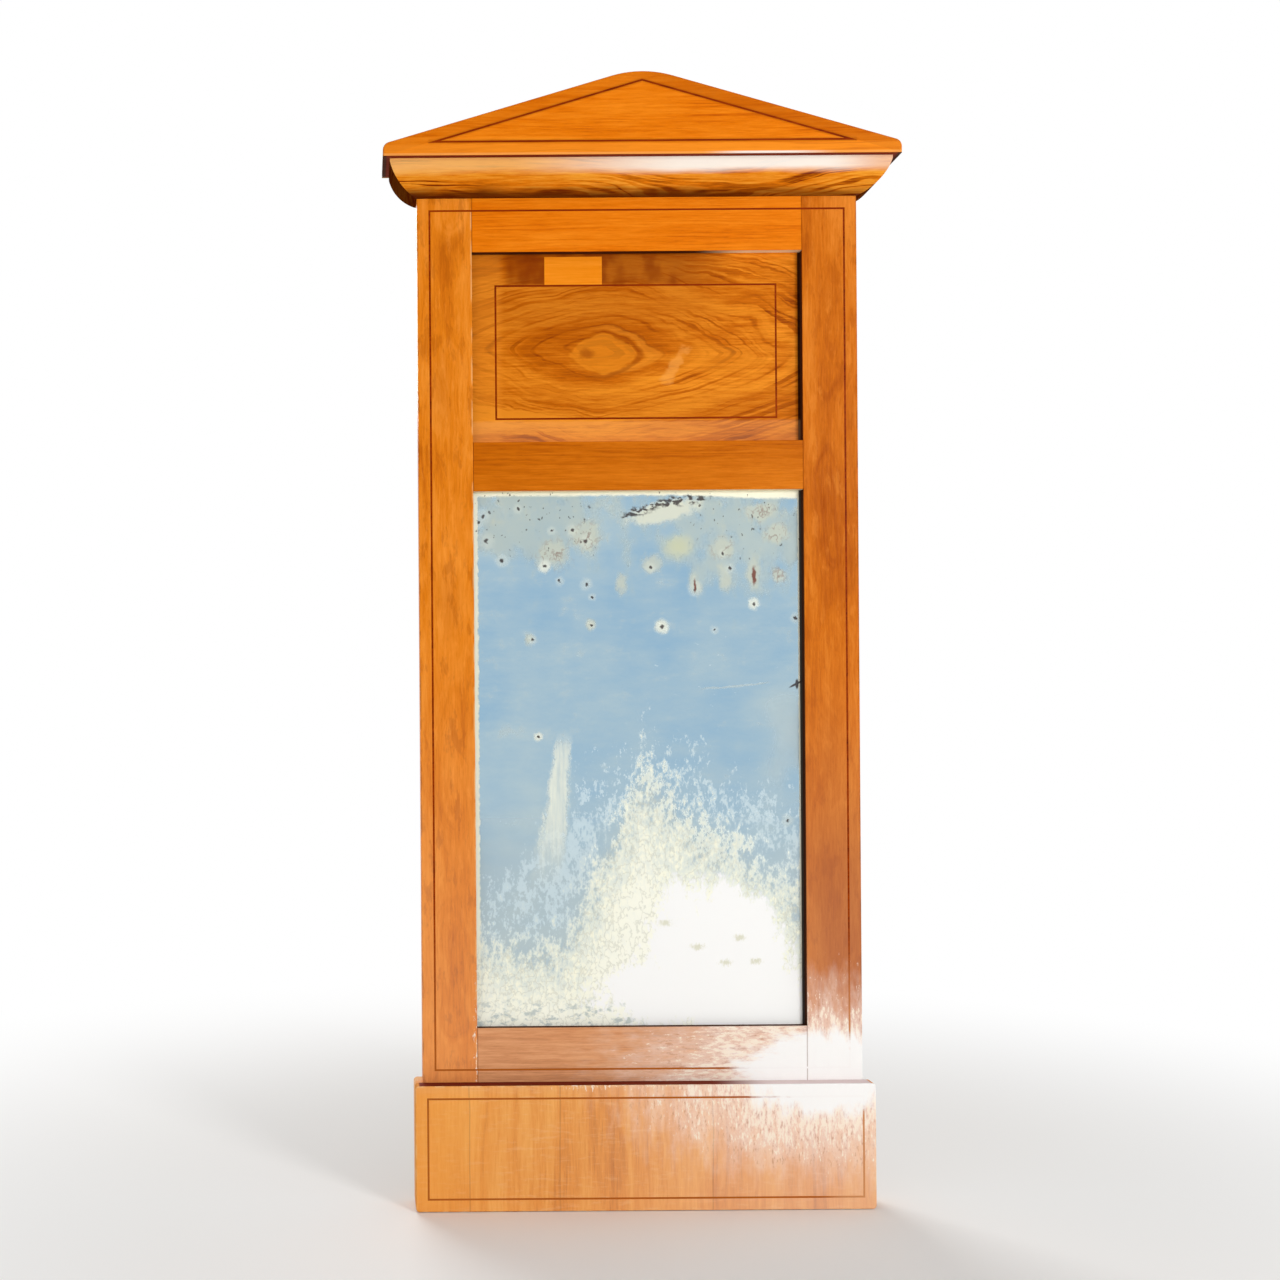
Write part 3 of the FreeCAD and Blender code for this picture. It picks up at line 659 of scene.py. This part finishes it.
# Painted shade: the returns are nearly all shade brown.
shade_share = 0.94 + 0.04 * fibre
polish(shader, tint(shade_share, colour, shade_umber), pores, fibre, shine=0.0)
wear_finish(finish, "cornice_left_return", "cornice_right_return")

# %% [markdown]
# ### The frieze panel
# The panel is the showpiece: a sheet cut across the root, where the rings close into an eye. Rings
# round an eye are long pointed ovals, so growth is a distance from its middle with the length
# pulled in, and a power below two, which makes corners at the ends. Noise bends the ovals.

# %% Frieze rings
panel_tones = (srgb(246, 150, 36), srgb(205, 105, 4), srgb(142, 58, 0))
eye = (-38.7, 7.1)
eye_stretch = 2.9
pointed = 1.4


def pointed_oval(across, along):
    """Below 1 inside an oval with pointed ends, and above 1 outside it."""
    return abs(across) ** pointed + abs(along) ** pointed


def tell(step):
    """Say how far the finish in hand has come."""
    print(finish.name, "has", step, "and", len(finish.node_tree.nodes), "nodes")


finish, shader, place = begin("frieze veneer")
x, _, z = axes(place)
bend = sway(stretch(place, "x", 100, 62), 1) * 9 + sway(stretch(place, "x", 30, 15), 3) * 3
eye_x = x - eye[0]
eye_z = z - eye[1]
growth = pointed_oval(eye_z + bend, eye_x / eye_stretch + bend * 0.5) ** (1 / pointed)
colour, pores, fibre = timber(place, "x", growth, 11.0, panel_tones, 8.3,
                              figure=0.38, lines=0.44, clouds=0.4, fine=0.42)
tell("rings")

# %% [markdown]
# Rings alone give even ovals. On the real panel the field is darker above and below the eye, and
# a pale halo lies round it on the right. The eye itself is pale, with a dark rim and a small dark
# pupil. These are laid over the rings one by one, each as an oval with a rippled edge, because a
# tone that is laid on its own can be matched on its own.

# %% Frieze fields
ripple = sway(stretch(place, "x", 15, 10), 3)
cloud = 1 - rise(oval(eye_x, eye_z, -22, 8, 105, 62) + ripple * 0.2, 0.25, 1.1)
colour = tint(0.14 * cloud, colour, srgb(158, 70, 0))
upper = rise(z + ripple * 6, -6, 56) * (1 - rise(x, 40, 130))
colour = tint(0.38 * upper, colour, srgb(170, 78, 0))
lower = rise(-1 * z + ripple * 5, 18, 50) * (1 - rise(-1 * z, 60, 70))
colour = tint(0.24 * lower, colour, srgb(184, 92, 6))
halo = (1 - rise(abs(growth - 23), 1.0, 4.0)) * rise(eye_x, -30, 40)
colour = tint(0.4 * halo, colour, srgb(240, 148, 40))
tell("fields")

# %% Frieze eye
pupil = (-55, 4, 8, 6)
eye_edge = pointed_oval((eye_x - 3) / 40, (eye_z + 3) / 24) + ripple * 0.12
in_eye = 1 - rise(eye_edge, 0.8, 0.95)
dark_rim = (1 - rise(abs(eye_edge - 1.05), 0.04, 0.2)) * rise(eye_x, -20, 20)
colour = tint(0.45 * dark_rim, colour, srgb(146, 60, 0))
colour = tint(0.46 * in_eye, colour, srgb(246, 150, 34))
in_pupil = 1 - rise(oval(x, z, *pupil) + ripple * 0.8, 0.3, 1.2)
colour = tint(0.6 * in_pupil, colour, srgb(158, 70, 2))
tell("an eye")

# %% [markdown]
# Right of the eye the rings run out into a long pale tongue. Between the two lies a short slanting
# flame, where a side shoot left the trunk. A slanting oval is an upright one at a turned place, so
# the place is turned first, by a run and a rise as on a set square.

# %% Frieze tongue and side shoot
side_shoot = (41, -8)
shoot_run, shoot_rise = 0.58, 0.81
tongue_edge = pointed_oval((x - 84) / 62, (z + 1 + bend * 0.4) / 19) + ripple * 0.15
tongue = 1 - rise(tongue_edge, 0.6, 1.0)
colour = tint(0.3 * tongue, colour, srgb(244, 150, 36))
shoot_x = x - side_shoot[0]
shoot_z = z - side_shoot[1]
up_shoot = shoot_x * shoot_run + shoot_z * shoot_rise
off_shoot = shoot_x * shoot_rise - shoot_z * shoot_run
in_shoot = 1 - rise(length(up_shoot / 30, off_shoot / 9) + ripple * 0.8, 0.4, 1.05)
colour = tint(0.45 * in_shoot, colour, srgb(252, 172, 80))
tell("a tongue and a side shoot")

# %% [markdown]
# Old stains darken the top edge beside the let-in repair, the left border is paler, and dust lies
# along the foot. The last few millimetres at the right end are painted dark, as a painted shadow
# where the frame's edge shades the panel.

# %% Frieze borders
stain = rise(z + ripple * 2, 76, 82) * rise(x, -144, -134) * (1 - rise(x, 40, 110))
smear = sway(stretch(place, "z", 40, 24), 2)
colour = tint((0.5 + 0.4 * rise(smear, -0.3, 0.5)) * stain, colour, srgb(136, 54, 0))
# Painted shadow on the last few millimetres of the right end.
painted_end_shadow = rise(x, 174.0, 174.8)
colour = tint(0.95 * painted_end_shadow, colour, srgb(36, 8, 2))
left_border = 1 - rise(x + ripple, -150, -140)
colour = tint(0.3 * left_border, colour, srgb(248, 152, 44))
foot_strip = 1 - rise(z + ripple, -70, -66)
colour = tint(0.18 * foot_strip, colour, srgb(240, 178, 128))
polish(shader, colour, pores, fibre)
wear_finish(finish, "frieze_veneer")

# %% [markdown]
# A small oblong at the top of the panel was cut out long ago and filled with newer veneer. It is
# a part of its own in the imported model, so it only needs a finish of its own: brighter, with
# straight grain, and with another seed, since the same one would hide the joint.

# %% Let-in repair
finish, shader, place = begin("patch veneer")
patch_tones = (srgb(254, 152, 36), srgb(243, 136, 12), srgb(216, 104, 0))
colour, pores, fibre = timber(place, "x", level_growth(place, 9.1), 8.0, patch_tones, 9.1,
                              figure=0.25)
polish(shader, colour, pores, fibre)
wear_finish(finish, "frieze_patch")

# %% [markdown]
# ### The plinth
# The plinth is veneered with the grain upright, in leaves laid side by side, so fine joints run
# from top to bottom. It has faded from left to right, and a faint ripple lies across its grain.
# Each leaf could be a part, but they come from one log and are flush, so one sheet with thin dark
# lines in its colour looks the same.

# %% Plinth veneer
plinth_tones = (srgb(254, 186, 96), srgb(235, 150, 58), srgb(192, 104, 26))
leaf_joints = (-187.0, -91.0, 71.0)

finish, shader, place = begin("plinth veneer")
x, y, z = axes(place)
growth = x + y + sway(stretch(place, "z", 190, 40), 2) * 12
colour, pores, fibre = timber(place, "z", growth, 20.0, plinth_tones, 10.2, figure=0.26, lines=0.16)
cross_ripple = rise(sway(stretch(place, "x", 18, 3.6), 4, 0.65), 0.0, 0.6)
colour = tint(0.22 * cross_ripple, colour, srgb(253, 206, 150))
golden = 1 - rise(x, -244, -110)
colour = tint(0.6 * golden, colour, srgb(248, 158, 40))
colour = tint(0.34 * rise(x, -130, 230), colour, srgb(240, 206, 190))
waver = sway(stretch(place, "z", 60, 60)) * 1.2
joint = most(*[1 - rise(abs(x + waver - joint_x), 0.3, 1.1) for joint_x in leaf_joints])
colour = tint(0.3 * joint, colour, srgb(140, 66, 14))
knocked = rise(z, plinth_top - 10, plinth_top + 1) * rise(x, -150, -60) * 0.5
colour = rubbed_edges(place, "plinth_veneer", colour, bare_wood, ["left", "right", "foot", "top"])
polish(shader, weathered_and_glared(place, colour, "z", knocked), pores, fibre)
wear_finish(finish, "plinth_veneer", "plinth_left_return", "plinth_right_return")

# %% [markdown]
# ### The string inlay
# Thin dark lines, let into the veneer, frame every field. They are strips of stained wood, and
# they have faded near the foot with the rest, and a painted glare whitens them at the lower right.
# The imported model has them as parts, so nothing needs to be drawn: a dark timber, the fading and
# the shared painted glare finish them all.

# %% Strings
finish, shader, place = begin("string inlay")
string_tones = (srgb(164, 62, 0), srgb(134, 42, 0), srgb(94, 22, 0))
colour, pores, fibre = timber(place, "x", level_growth(place, 11.0), 6.0, string_tones, 11.0)
x, _, z = axes(place)
colour = tint(0.6 * (1 - rise(z, -780, -560)), colour, srgb(194, 112, 44))
# Painted glare: the strings go pale at the lower right.
string_glare = rise(x, 180, 215) * (1 - rise(z, -740, -620))
colour = tint(0.8 * string_glare, colour, srgb(214, 150, 100))
polish(shader, glare_whitened(place, colour, "x"), pores, fibre)
wear_finish(finish, "frame_stringing", "frieze_stringing", "pediment_stringing", "plinth_stringing")

# %% [markdown]
# ## The carcass
# Behind the veneer everything is pine, brown with age and dust, with bolder rings than the front
# and no polish. All of it could share one material, but neighbouring boards with one pattern look
# like one board, so a function makes a finish for each and gives it a seed of its own.

# %% Old pine
pine_tones = (srgb(198, 154, 104), srgb(172, 126, 80), srgb(128, 88, 52))


def old_pine(name, grain, seed, nodes, stain=None, tones=pine_tones):
    """Unpolished pine; stain(x, y, z) gives dust, painted shade or painted light, and its share."""
    finish, shader, place = begin(name)
    x, y, z = axes(place)
    across = x if grain == "z" else z
    heart = sway(stretch(moved(place, (seed * 31.0, seed, seed * 83.0)), grain, 330, 60), 2) * 16
    growth = across + 0.5 * y + heart
    colour, pores, fibre = timber(place, grain, growth, 10.0, tones, seed, figure=0.34, lines=0.34)
    dust = rise(sway(stretch(place, "x", 80, 80), 4, 0.6), -0.1, 0.8)
    colour = tint(0.3 * dust, colour, srgb(104, 80, 58))
    if stain:
        dust_and_light_colour, share = stain(x, y, z)
        colour = tint(0.94 * share, colour, dust_and_light_colour)
    polish(shader, colour, pores, fibre, gloss=0.62, shine=0.04)
    wear_finish(finish, *nodes)


old_pine("gable pine", "x", 16.8, ["tympanum", "frieze_panel", "glass_wedges"])
old_pine("roof pine", "x", 17.9, ["left_roof_board", "right_roof_board"])
old_pine("block pine", "y", 18.4, ["pediment_ribs", "plinth_glue_blocks"])

# %% [markdown]
# Where the pine's edges show from the front, they are painted dark, as painted shade: in the
# reveals, under the gable and on the plinth's ledge, which has a painted glare towards its right.
# Over the glass the edge is painted pale instead, as painted light, and over the panel it goes
# from painted shade at the left to painted light at the right. Each is a small function that gives
# a colour and where it lies, so that the recipe for pine stays the same for all.

# %% Painted shade and light for edges that show
# The dark of painted shade, for front edges that show.
reveal_shade = srgb(58, 16, 4)
# The pale of painted light, for soffits over the glass and the panel.
painted_light_edge = srgb(255, 232, 192)


def near_front(y):
    """1 on the front edges of the carcass, and 0 from the middle of its depth on."""
    return 1 - rise(y, -16, -10)


def shaded_front(x, y, z):
    """Front edges painted dark, as painted shade."""
    return reveal_shade, near_front(y)


def shaded_under(x, y, z):
    """Painted shade: reddish dark all over but for the back, darker still at both ends."""
    return tint(rise(abs(x), 267, 269), srgb(124, 34, 10), srgb(66, 22, 8)), 1 - rise(y, -4, -2)


def shaded_ledge(x, y, z):
    """Painted shade on the ledge, painted glare to its right, plinth colour at the ends."""
    ends = rise(abs(x), 239, 241)
    ledge = tint(0.9 * rise(x, 70, 140), srgb(110, 26, 14), srgb(240, 222, 222))
    on_top = rise(z, plinth_top - 1, plinth_top + 1)
    return tint(ends, ledge, srgb(226, 144, 58)), most(ends, on_top)


def lit_end(x, y, z):
    """Front edges painted from painted shade at the left to painted light at the right."""
    return tint(rise(x, 60, 120), reveal_shade, painted_light_edge), near_front(y)


def lit_front(x, y, z):
    """Front edges painted pale, as painted light."""
    return painted_light_edge, near_front(y)


old_pine("upright pine", "z", 12.5, ["left_stile", "right_stile"], shaded_front)
old_pine("bottom rail pine", "x", 13.1, ["bottom_rail"], shaded_front)
old_pine("plinth pine", "x", 13.8, ["plinth_board"], shaded_ledge)
old_pine("bed pine", "x", 14.2, ["pediment_bed"], shaded_under)
old_pine("top rail pine", "x", 15.6, ["top_rail"], lit_end)
old_pine("middle rail pine", "x", 15.9, ["middle_rail"], lit_front)

# %% [markdown]
# The three backboards are thinner, rougher stuff, greyer than the frame. Each is a board of its
# own, so each gets a pattern of its own and a dark line along its long edges, where dust settles.

# %% Backboards
grey_tones = (srgb(166, 132, 98), srgb(136, 104, 74), srgb(96, 70, 48))

for number, side in enumerate(("left", "middle", "right")):
    node = f"backboard_{side}"
    (board_left, _, _), (board_right, _, _) = edges(node)

    def dark_gaps(x, y, z, low=board_left, high=board_right):
        """Dust along both long edges of a board."""
        dust = most(1 - rise(x - low, 0.4, 2.4), 1 - rise(high - x, 0.4, 2.4))
        return srgb(40, 26, 16), 0.75 * dust

    old_pine(f"{side} backboard", "z", 20.3 + 1.7 * number, [node], dark_gaps, grey_tones)

# %% [markdown]
# Pegs and dowels are split from hard wood, darker than the pine, and only their ends show. Their
# grain runs from front to back, so the rings lie close on what can be seen of them.

# %% Pegs and dowels
finish, shader, place = begin("peg wood")
peg_tones = (srgb(170, 120, 70), srgb(140, 92, 48), srgb(96, 58, 28))
colour, pores, fibre = timber(place, "y", level_growth(place, 13.0), 4.0, peg_tones, 13.0)
polish(shader, colour, pores, fibre, gloss=0.55, shine=0.04)
wear_finish(finish, "tenon_pegs", "pediment_dowels")

# %% [markdown]
# ## Iron
# Straps, rings, nails and screws are wrought iron: grey-black scale with rust in the hollows. One
# noise makes the scale and its relief, and another the rust. Rust is no metal, so Metallic falls
# and Roughness rises where it lies.

# %% Iron
finish, shader, place = begin("forged iron")
scale = sway(stretch(place, "x", 7, 7), 4)
rust = rise(sway(stretch(place, "x", 5, 5), 5, 0.65), 0.05, 0.5)
bare_iron = ramp(scale + 0.5, [(0, srgb(44, 42, 42)), (1, srgb(104, 100, 98))])
feed(shader.inputs["Base Color"], tint(rust, bare_iron, srgb(112, 62, 36)))
feed(shader.inputs["Metallic"], 1 - rust)
feed(shader.inputs["Roughness"], 0.42 + 0.38 * rust)
bump = scale.node("ShaderNodeBump", None, {"Strength": 0.4, "Distance": 0.0005, "Height": scale})
feed(shader.inputs["Normal"], bump)
wear_finish(finish, "backboard_nails", "cornice_screws", "plinth_screws", "left_hanger_strap",
            "right_hanger_strap", "left_hanger_ring", "right_hanger_ring", "hanger_screws")

# %% [markdown]
# ## The old silvering
# The plate is thin blown glass, silvered on its back. The silver still mirrors, with a cold blue
# tinge, but damp has crept in from the edges: black specks with pale rings along the top, and a
# mottled cream bloom that climbs from the bottom like frost. A painted picture could hold all of
# it, but here each fault is a mask of its own, worked out first, and all are laid together at the
# end. The silver itself is a slow cloud and a brushed noise between two blues.

# %% Silver
finish, shader, place = begin("old silvering")
x, _, z = axes(place)
cloud = sway(stretch(place, "z", 120, 80), 2)
brushed = sway(stretch(place, "x", 55, 22), 5, 0.65)
silver = ramp(cloud * 0.5 + brushed * 0.4 + 0.5,
              [(0.1, srgb(148, 183, 207)), (0.9, srgb(174, 197, 207))])
nibbled = sway(stretch(place, "z", 9, 9), 3)
wobble = sway(stretch(place, "z", 4, 4), 3) * 1.6
tell("silver")

# %% [markdown]
# ### Frosty bloom
# Damp that rises from the foot loosens the silver in crystals, like frost on a window. `depth`
# says how far a place lies under a tent-shaped line, steep to the left and flat to the right. The
# deeper a place lies, the more of the clumps and crystals are lost: a haze first, then a thin
# frost, a thick one, and curled veins. A plain gradient would end in a soft edge, but frost ends in
# single flecks, so the noise is added before the threshold and not after it.

# %% Frosty bloom
peak_x, peak_z = 3.0, -434.0
left_slope, right_slope = 2.0, 0.75
foot_line = -614.0
slopes = most((peak_x - x) * left_slope, (x - peak_x) * right_slope)
waver = sway(stretch(place, "z", 70, 50), 2) * 26
depth = most(peak_z - slopes - z, (foot_line - z) * 1.6) + waver
clumps = sway(stretch(place, "z", 17, 11), 3, 0.6)
crystals = sway(stretch(place, "z", 7, 3.8), 5, 0.75)
frost_haze = rise(depth, -60, 140)
thin_frost = rise(depth / 160 + clumps * 0.5 + crystals * 0.5, -0.05, 0.4) * rise(depth, -90, 0)
thick_frost = rise(depth / 215 + clumps * 0.42 + crystals * 0.75, 0.25, 0.75)
veins = 1 - rise(abs(sway(stretch(place, "z", 10, 7), 3)), 0.02, 0.15)
curls = veins * rise(depth, 0, 60)
near_frost = rise(peak_z - slopes * 0.5 - z + waver, -100, 30)
flecking = crystals * 0.6 + clumps * 0.45 + near_frost * 0.5
sparks = rise(flecking, 0.4, 0.6) * rise(near_frost, 0.03, 0.3)
bright = rise(depth, 40, 190)
tell("frost")

# %% [markdown]
# At the right foot a painted glare whitens the bloom. Three ovals make that white core, and one
# noise frays all of them, so that their edges stay in step and they read as one patch. A few brown
# scrapes lie in it, and grey gaps are left along the foot.

# %% White core of painted glare
glare_lobes = ((80, -640, 86, 80), (58, -684, 116, 40), (116, -696, 84, 50))
scraped_spots = ((92, -653), (27, -610), (107, -626), (125, -651), (62, -636))
scrape_size = (9, 5)
core_noise = crystals * 0.3 + clumps * 0.3 + waver / 80
# Painted glare: the three ovals make one white core.
core = most(*[1 - rise(oval(x, z, *lobe) + core_noise, 0.72, 1.0) for lobe in glare_lobes])
scrapes = most(*[1 - rise(oval(x, z, *middle, *scrape_size) + crystals * 0.9, 0.2, 1.0)
                 for middle in scraped_spots])
gaps = rise(sway(stretch(place, "x", 15, 9), 4, 0.65), 0.0, 0.35)
gaps = gaps * (1 - rise(z, -704, -680)) * (1 - rise(x, -20, 60))
tell("a white core")

# %% [markdown]
# ### Streak, drift and scratch
# Something has run down behind the glass at the left and left a pale streak that leans and widens
# downwards. A faint drift lies along the right, and one thin scratch crosses the plate there. Each
# is a distance from a line, cut off at both ends, and frayed by the noise that made the frost.

# %% Streak, drift and scratch
streak_top = -406
scratch_middle = (106, -355)
streak_x = -80 + (z - streak_top) * 0.12
streak_width = 9 + (streak_top - z) * 0.06
streak = 1 - rise(abs(x - streak_x) / streak_width + crystals * 0.35 + clumps * 0.35, 0.5, 1.15)
streak = streak * rise(z, -580, -500) * (1 - rise(z, -428, -400))
streak = streak * (0.9 + 0.6 * sway(stretch(place, "z", 60, 5), 4, 0.65))
drift = rise(x, 80, 165) * rise(z, -570, -450) * (1 - rise(z, -430, -310)) * rise(cloud, -0.5, 0.6)
scratch_z = z - scratch_middle[1] - (x - scratch_middle[0]) * 0.09
scratch_z = scratch_z + sway(stretch(place, "x", 30, 30)) * 2
scratch = (1 - rise(abs(scratch_z) + crystals, 0.4, 1.6)) * rise(x, 60, 80)
scratch = scratch * (1 - rise(x, 130, 150))
tell("a streak, a drift and a scratch")

# %% [markdown]
# ### Edges
# Along the opening the silver has been nibbled away in a thin cream rim, broader towards the upper
# right. A gap is the distance from one side of the opening, less some noise. The last few
# millimetres at the right edge are painted dark, as a painted shadow of the frame.

# %% Edges where the silver has gone
opening_top = -144.3
opening_foot = -719.7
left_gap = x + opening_edge - nibbled * 1.4
right_gap = opening_edge - x - nibbled * 0.6
top_gap = opening_top - z - nibbled * 1.4 - 4.5 * rise(x, 30, 150)
foot_gap = z - opening_foot - nibbled * 1.4
rim = most(1 - rise(left_gap, 4.0, 6.0), 1 - rise(right_gap, 3.6, 4.8),
           1 - rise(top_gap, 2.0, 6.0), 1 - rise(foot_gap, 1.2, 2.6))
# Painted shadow of the frame along the right edge.
painted_edge_shadow = 1 - rise(opening_edge - x, 2.3, 3.1)
tell("worn edges")

# %% [markdown]
# ### Specks
# Where damp has bitten through the backing, there are black pinholes with pale rings. A texture of
# cells would scatter them evenly, like a rash. There are few enough to list one by one, each with
# its place and radius in millimetres. The first four have clear rings, and the others faint ones. A
# mark like a tick, at the right edge, is two crossing strokes.

# %% Specks
clear_rings = 4
specks = (
    (26, -290, 3.0), (-100, -224, 2.6), (125, -266, 2.4), (-108, -408, 1.9), (-70, -185, 2.6),
    (-56, -197, 3.0), (-166, -170, 3.0), (83, -294, 1.8), (-163, -196, 3.6), (-146, -218, 2.8),
    (160, -500, 2.4), (-55, -244, 2.6), (14, -226, 2.2), (-114, -303, 2.0), (-50, -288, 1.8),
    (62, -250, 3.0), (-128, -162, 2.0), (-171, -176, 2.4), (-84, -240, 2.0), (92, -212, 2.0),
    (100, -228, 2.2), (170, -282, 2.4), (-49, -258, 1.6), (-92, -186, 1.8),
)
spots = []
rings = []
for number, (spot_x, spot_z, radius) in enumerate(specks):
    off = length(x - spot_x + wobble, z - spot_z - wobble)
    spots.append(1 - rise(off, 0.45 * radius, radius))
    clear = 0.85 if number < clear_rings else 0.3
    rings.append(clear * (1 - rise(off + nibbled * 2, 1.2 * radius, 3.6 * radius)))
tick_x, tick_z = 170, -353
long_stroke = length((x - tick_x) / 8, (z - tick_z - (x - tick_x) * 0.5) / 1.6)
short_stroke = oval(x, z, tick_x + 1, tick_z, 2, 6)
tick = most(1 - rise(long_stroke, 0.6, 1.1), 1 - rise(short_stroke, 0.6, 1.1))
spot = most(tick, *spots)
ring = most(*rings)
tell("specks")

# %% [markdown]
# ### Foxing
# Foxing is the beige and rusty staining near the top, as in an old book. Its ovals are listed one
# by one, and noise frays them. Six are rusty along their veins, one is yellow, and the others are
# plain.

# %% Foxing
rusty_ovals = ((-91, -212, 20, 17), (-57, -193, 17, 18), (133, -168, 20, 11),
               (150, -191, 14, 12), (91, -206, 13, 13), (152, -236, 9, 10))
yellow_oval = (44, -204, 16, 13)
plain_ovals = ((14, -223, 12, 13), (94, -237, 9, 20), (-18, -244, 8, 15), (-116, -304, 9, 11),
               (-50, -287, 9, 9), (62, -243, 9, 19), (125, -234, 9, 21), (26, -290, 9, 10))


def bruises(*ovals):
    """1 in the middle of each oval, fading out beyond its rim."""
    return most(*[1 - rise(oval(x, z, *bruise), 0, 1.5) for bruise in ovals])


rusty = bruises(*rusty_ovals)
yellow = bruises(yellow_oval)
top_damp = rise(z, -310, -160)
fox_noise = nibbled * 0.25 + clumps * 0.4 + crystals * 0.12
fox = rise(most(rusty, yellow, bruises(*plain_ovals)) + 0.4 * top_damp + fox_noise, 0.35, 1.15)
rust = rusty * veins * rise(clumps, -0.4, 0.2)
sores = most(1 - rise(oval(x + wobble, z, 125.7, -236, 2.8, 12), 0.5, 1.1),
             1 - rise(oval(x + wobble, z, 62, -246, 2, 9), 0.4, 1.1))
tell("foxing")

# %% [markdown]
# Under the foxing the silver is clouded in broad grey patches, thickest in the two upper corners,
# and peppered with dark points. A few light flakes lie lower down. The patches are smooth and the
# pepper is fine, so each comes from a noise of its own size.

# %% Damp patches, pepper and flakes
damp_sides = most(1 - rise(oval(x, z, -112, -178, 78, 52), 0.4, 1.2),
                  1 - rise(oval(x, z, 110, -204, 84, 72), 0.4, 1.2))
mottle = sway(stretch(place, "z", 30, 20), 3) * 0.7
patches = rise(mottle + top_damp * 0.6 + damp_sides * 0.6, 0.3, 1.25)
pepper = sway(stretch(place, "z", 6.5, 4.5), 3) + top_damp * 0.4
peppered = rise(pepper, 0.84, 0.98) * rise(patches, 0.2, 0.5)
flakes = rise(sway(stretch(place, "x", 12, 6), 3, 0.6), 0.5, 0.75)
flakes = flakes * (1 - rise(oval(x, z, 85, -335, 100, 60), 0.5, 1.1))
tell("patches, pepper and flakes")

# %% [markdown]
# ### Torn patch
# Under the top edge a flap of the backing has torn off. It left a pale lens of glass, with dark
# lumps along its upper rim where the backing curled up. A lens that leans is an oval whose height
# is counted from a slanting line.

# %% Torn patch
torn_x, torn_z = 30, -166
up_torn = z - torn_z - (x - torn_x) * 0.2
torn_edge = length((x - torn_x) / 45, up_torn / 13) + nibbled * 0.3 + crystals * 0.15
torn = 1 - rise(torn_edge, 0.5, 1.15)
lumps = rise(sway(stretch(place, "x", 8, 4.5), 3), -0.1, 0.14)
upper_rim = rise(torn_edge, 0.3, 0.6) * (1 - rise(torn_edge, 0.95, 1.2)) * rise(up_torn, 0, 3)
torn_lumps = lumps * upper_rim
tell("a torn patch")

# %% [markdown]
# ### Laid together
# The faults are laid over the silver from the faintest to the strongest, so that no speck is lost
# under the frost: first what is hazy, then what is pale, and last what is dark.

# %% Haze and pale faults
greyed = 1 - rise(z, -600, -400)
wisps = rise(brushed + clumps * 0.6, 0.15, 0.9)
haze = most(0.5 * greyed, 0.6 * drift, 0.7 * frost_haze, 0.5 * scratch, 0.3 * wisps)
colour = tint(haze, silver, srgb(196, 207, 203))
colour = tint(0.7 * patches, colour, srgb(186, 199, 192))
colour = tint(0.82 * fox, colour, srgb(200, 206, 190))
colour = tint(0.75 * most(flakes, sparks), colour, srgb(208, 226, 232))
pale = most(ring, 0.85 * streak, 0.85 * thin_frost)
colour = tint(pale, colour, srgb(233, 238, 224))
colour = tint(0.75 * yellow, colour, srgb(206, 210, 172))
colour = tint(0.9 * torn, colour, srgb(224, 227, 208))
tell("haze and pale faults")

# %% Cream and dark faults, with the painted glare and painted shadow
cream = most(thick_frost, rim)
colour = tint(cream, colour, srgb(252, 252, 230))
colour = tint(0.88 * bright, colour, srgb(254, 254, 240))
colour = tint(0.42 * curls, colour, srgb(196, 197, 180))
colour = tint(0.75 * gaps, colour, srgb(176, 189, 188))
# The painted glare's white core.
colour = tint(core, colour, srgb(254, 254, 252))
colour = tint(0.6 * scrapes, colour, srgb(206, 204, 166))
dark = most(spot, 0.85 * peppered, torn_lumps)
colour = tint(0.92 * dark, colour, srgb(50, 38, 40))
brown = most(sores, 0.6 * rust)
colour = tint(brown, colour, srgb(124, 78, 66))
# The painted shadow at the right edge.
colour = tint(0.96 * painted_edge_shadow, colour, srgb(34, 10, 4))
feed(shader.inputs["Base Color"], colour)
tell("all its colours")

# %% [markdown]
# Where the silver is gone, the plate is no metal any more, and the same goes where glare and
# shadow are painted. The greatest of the faults and painted marks says how much is lost. Metallic
# falls before Roughness rises, because rough metal would look like paint, and a thin coat over all
# stands for the glass in front.

# %% Lost metal
lost = most(haze, pale, bright, 0.6 * patches, 0.8 * fox, torn, cream, core, dark, brown,
            painted_edge_shadow)
feed(shader.inputs["Metallic"], 1 - rise(lost, 0.1, 0.5))
feed(shader.inputs["Roughness"], 0.06 + 0.04 * cloud + 0.5 * rise(lost, 0.5, 0.8))
shader.inputs["Specular IOR Level"].default_value = 0.2
shader.inputs["Coat Weight"].default_value = 0.12
shader.inputs["Coat Roughness"].default_value = 0.03
wear_finish(finish, "mirror_glass")
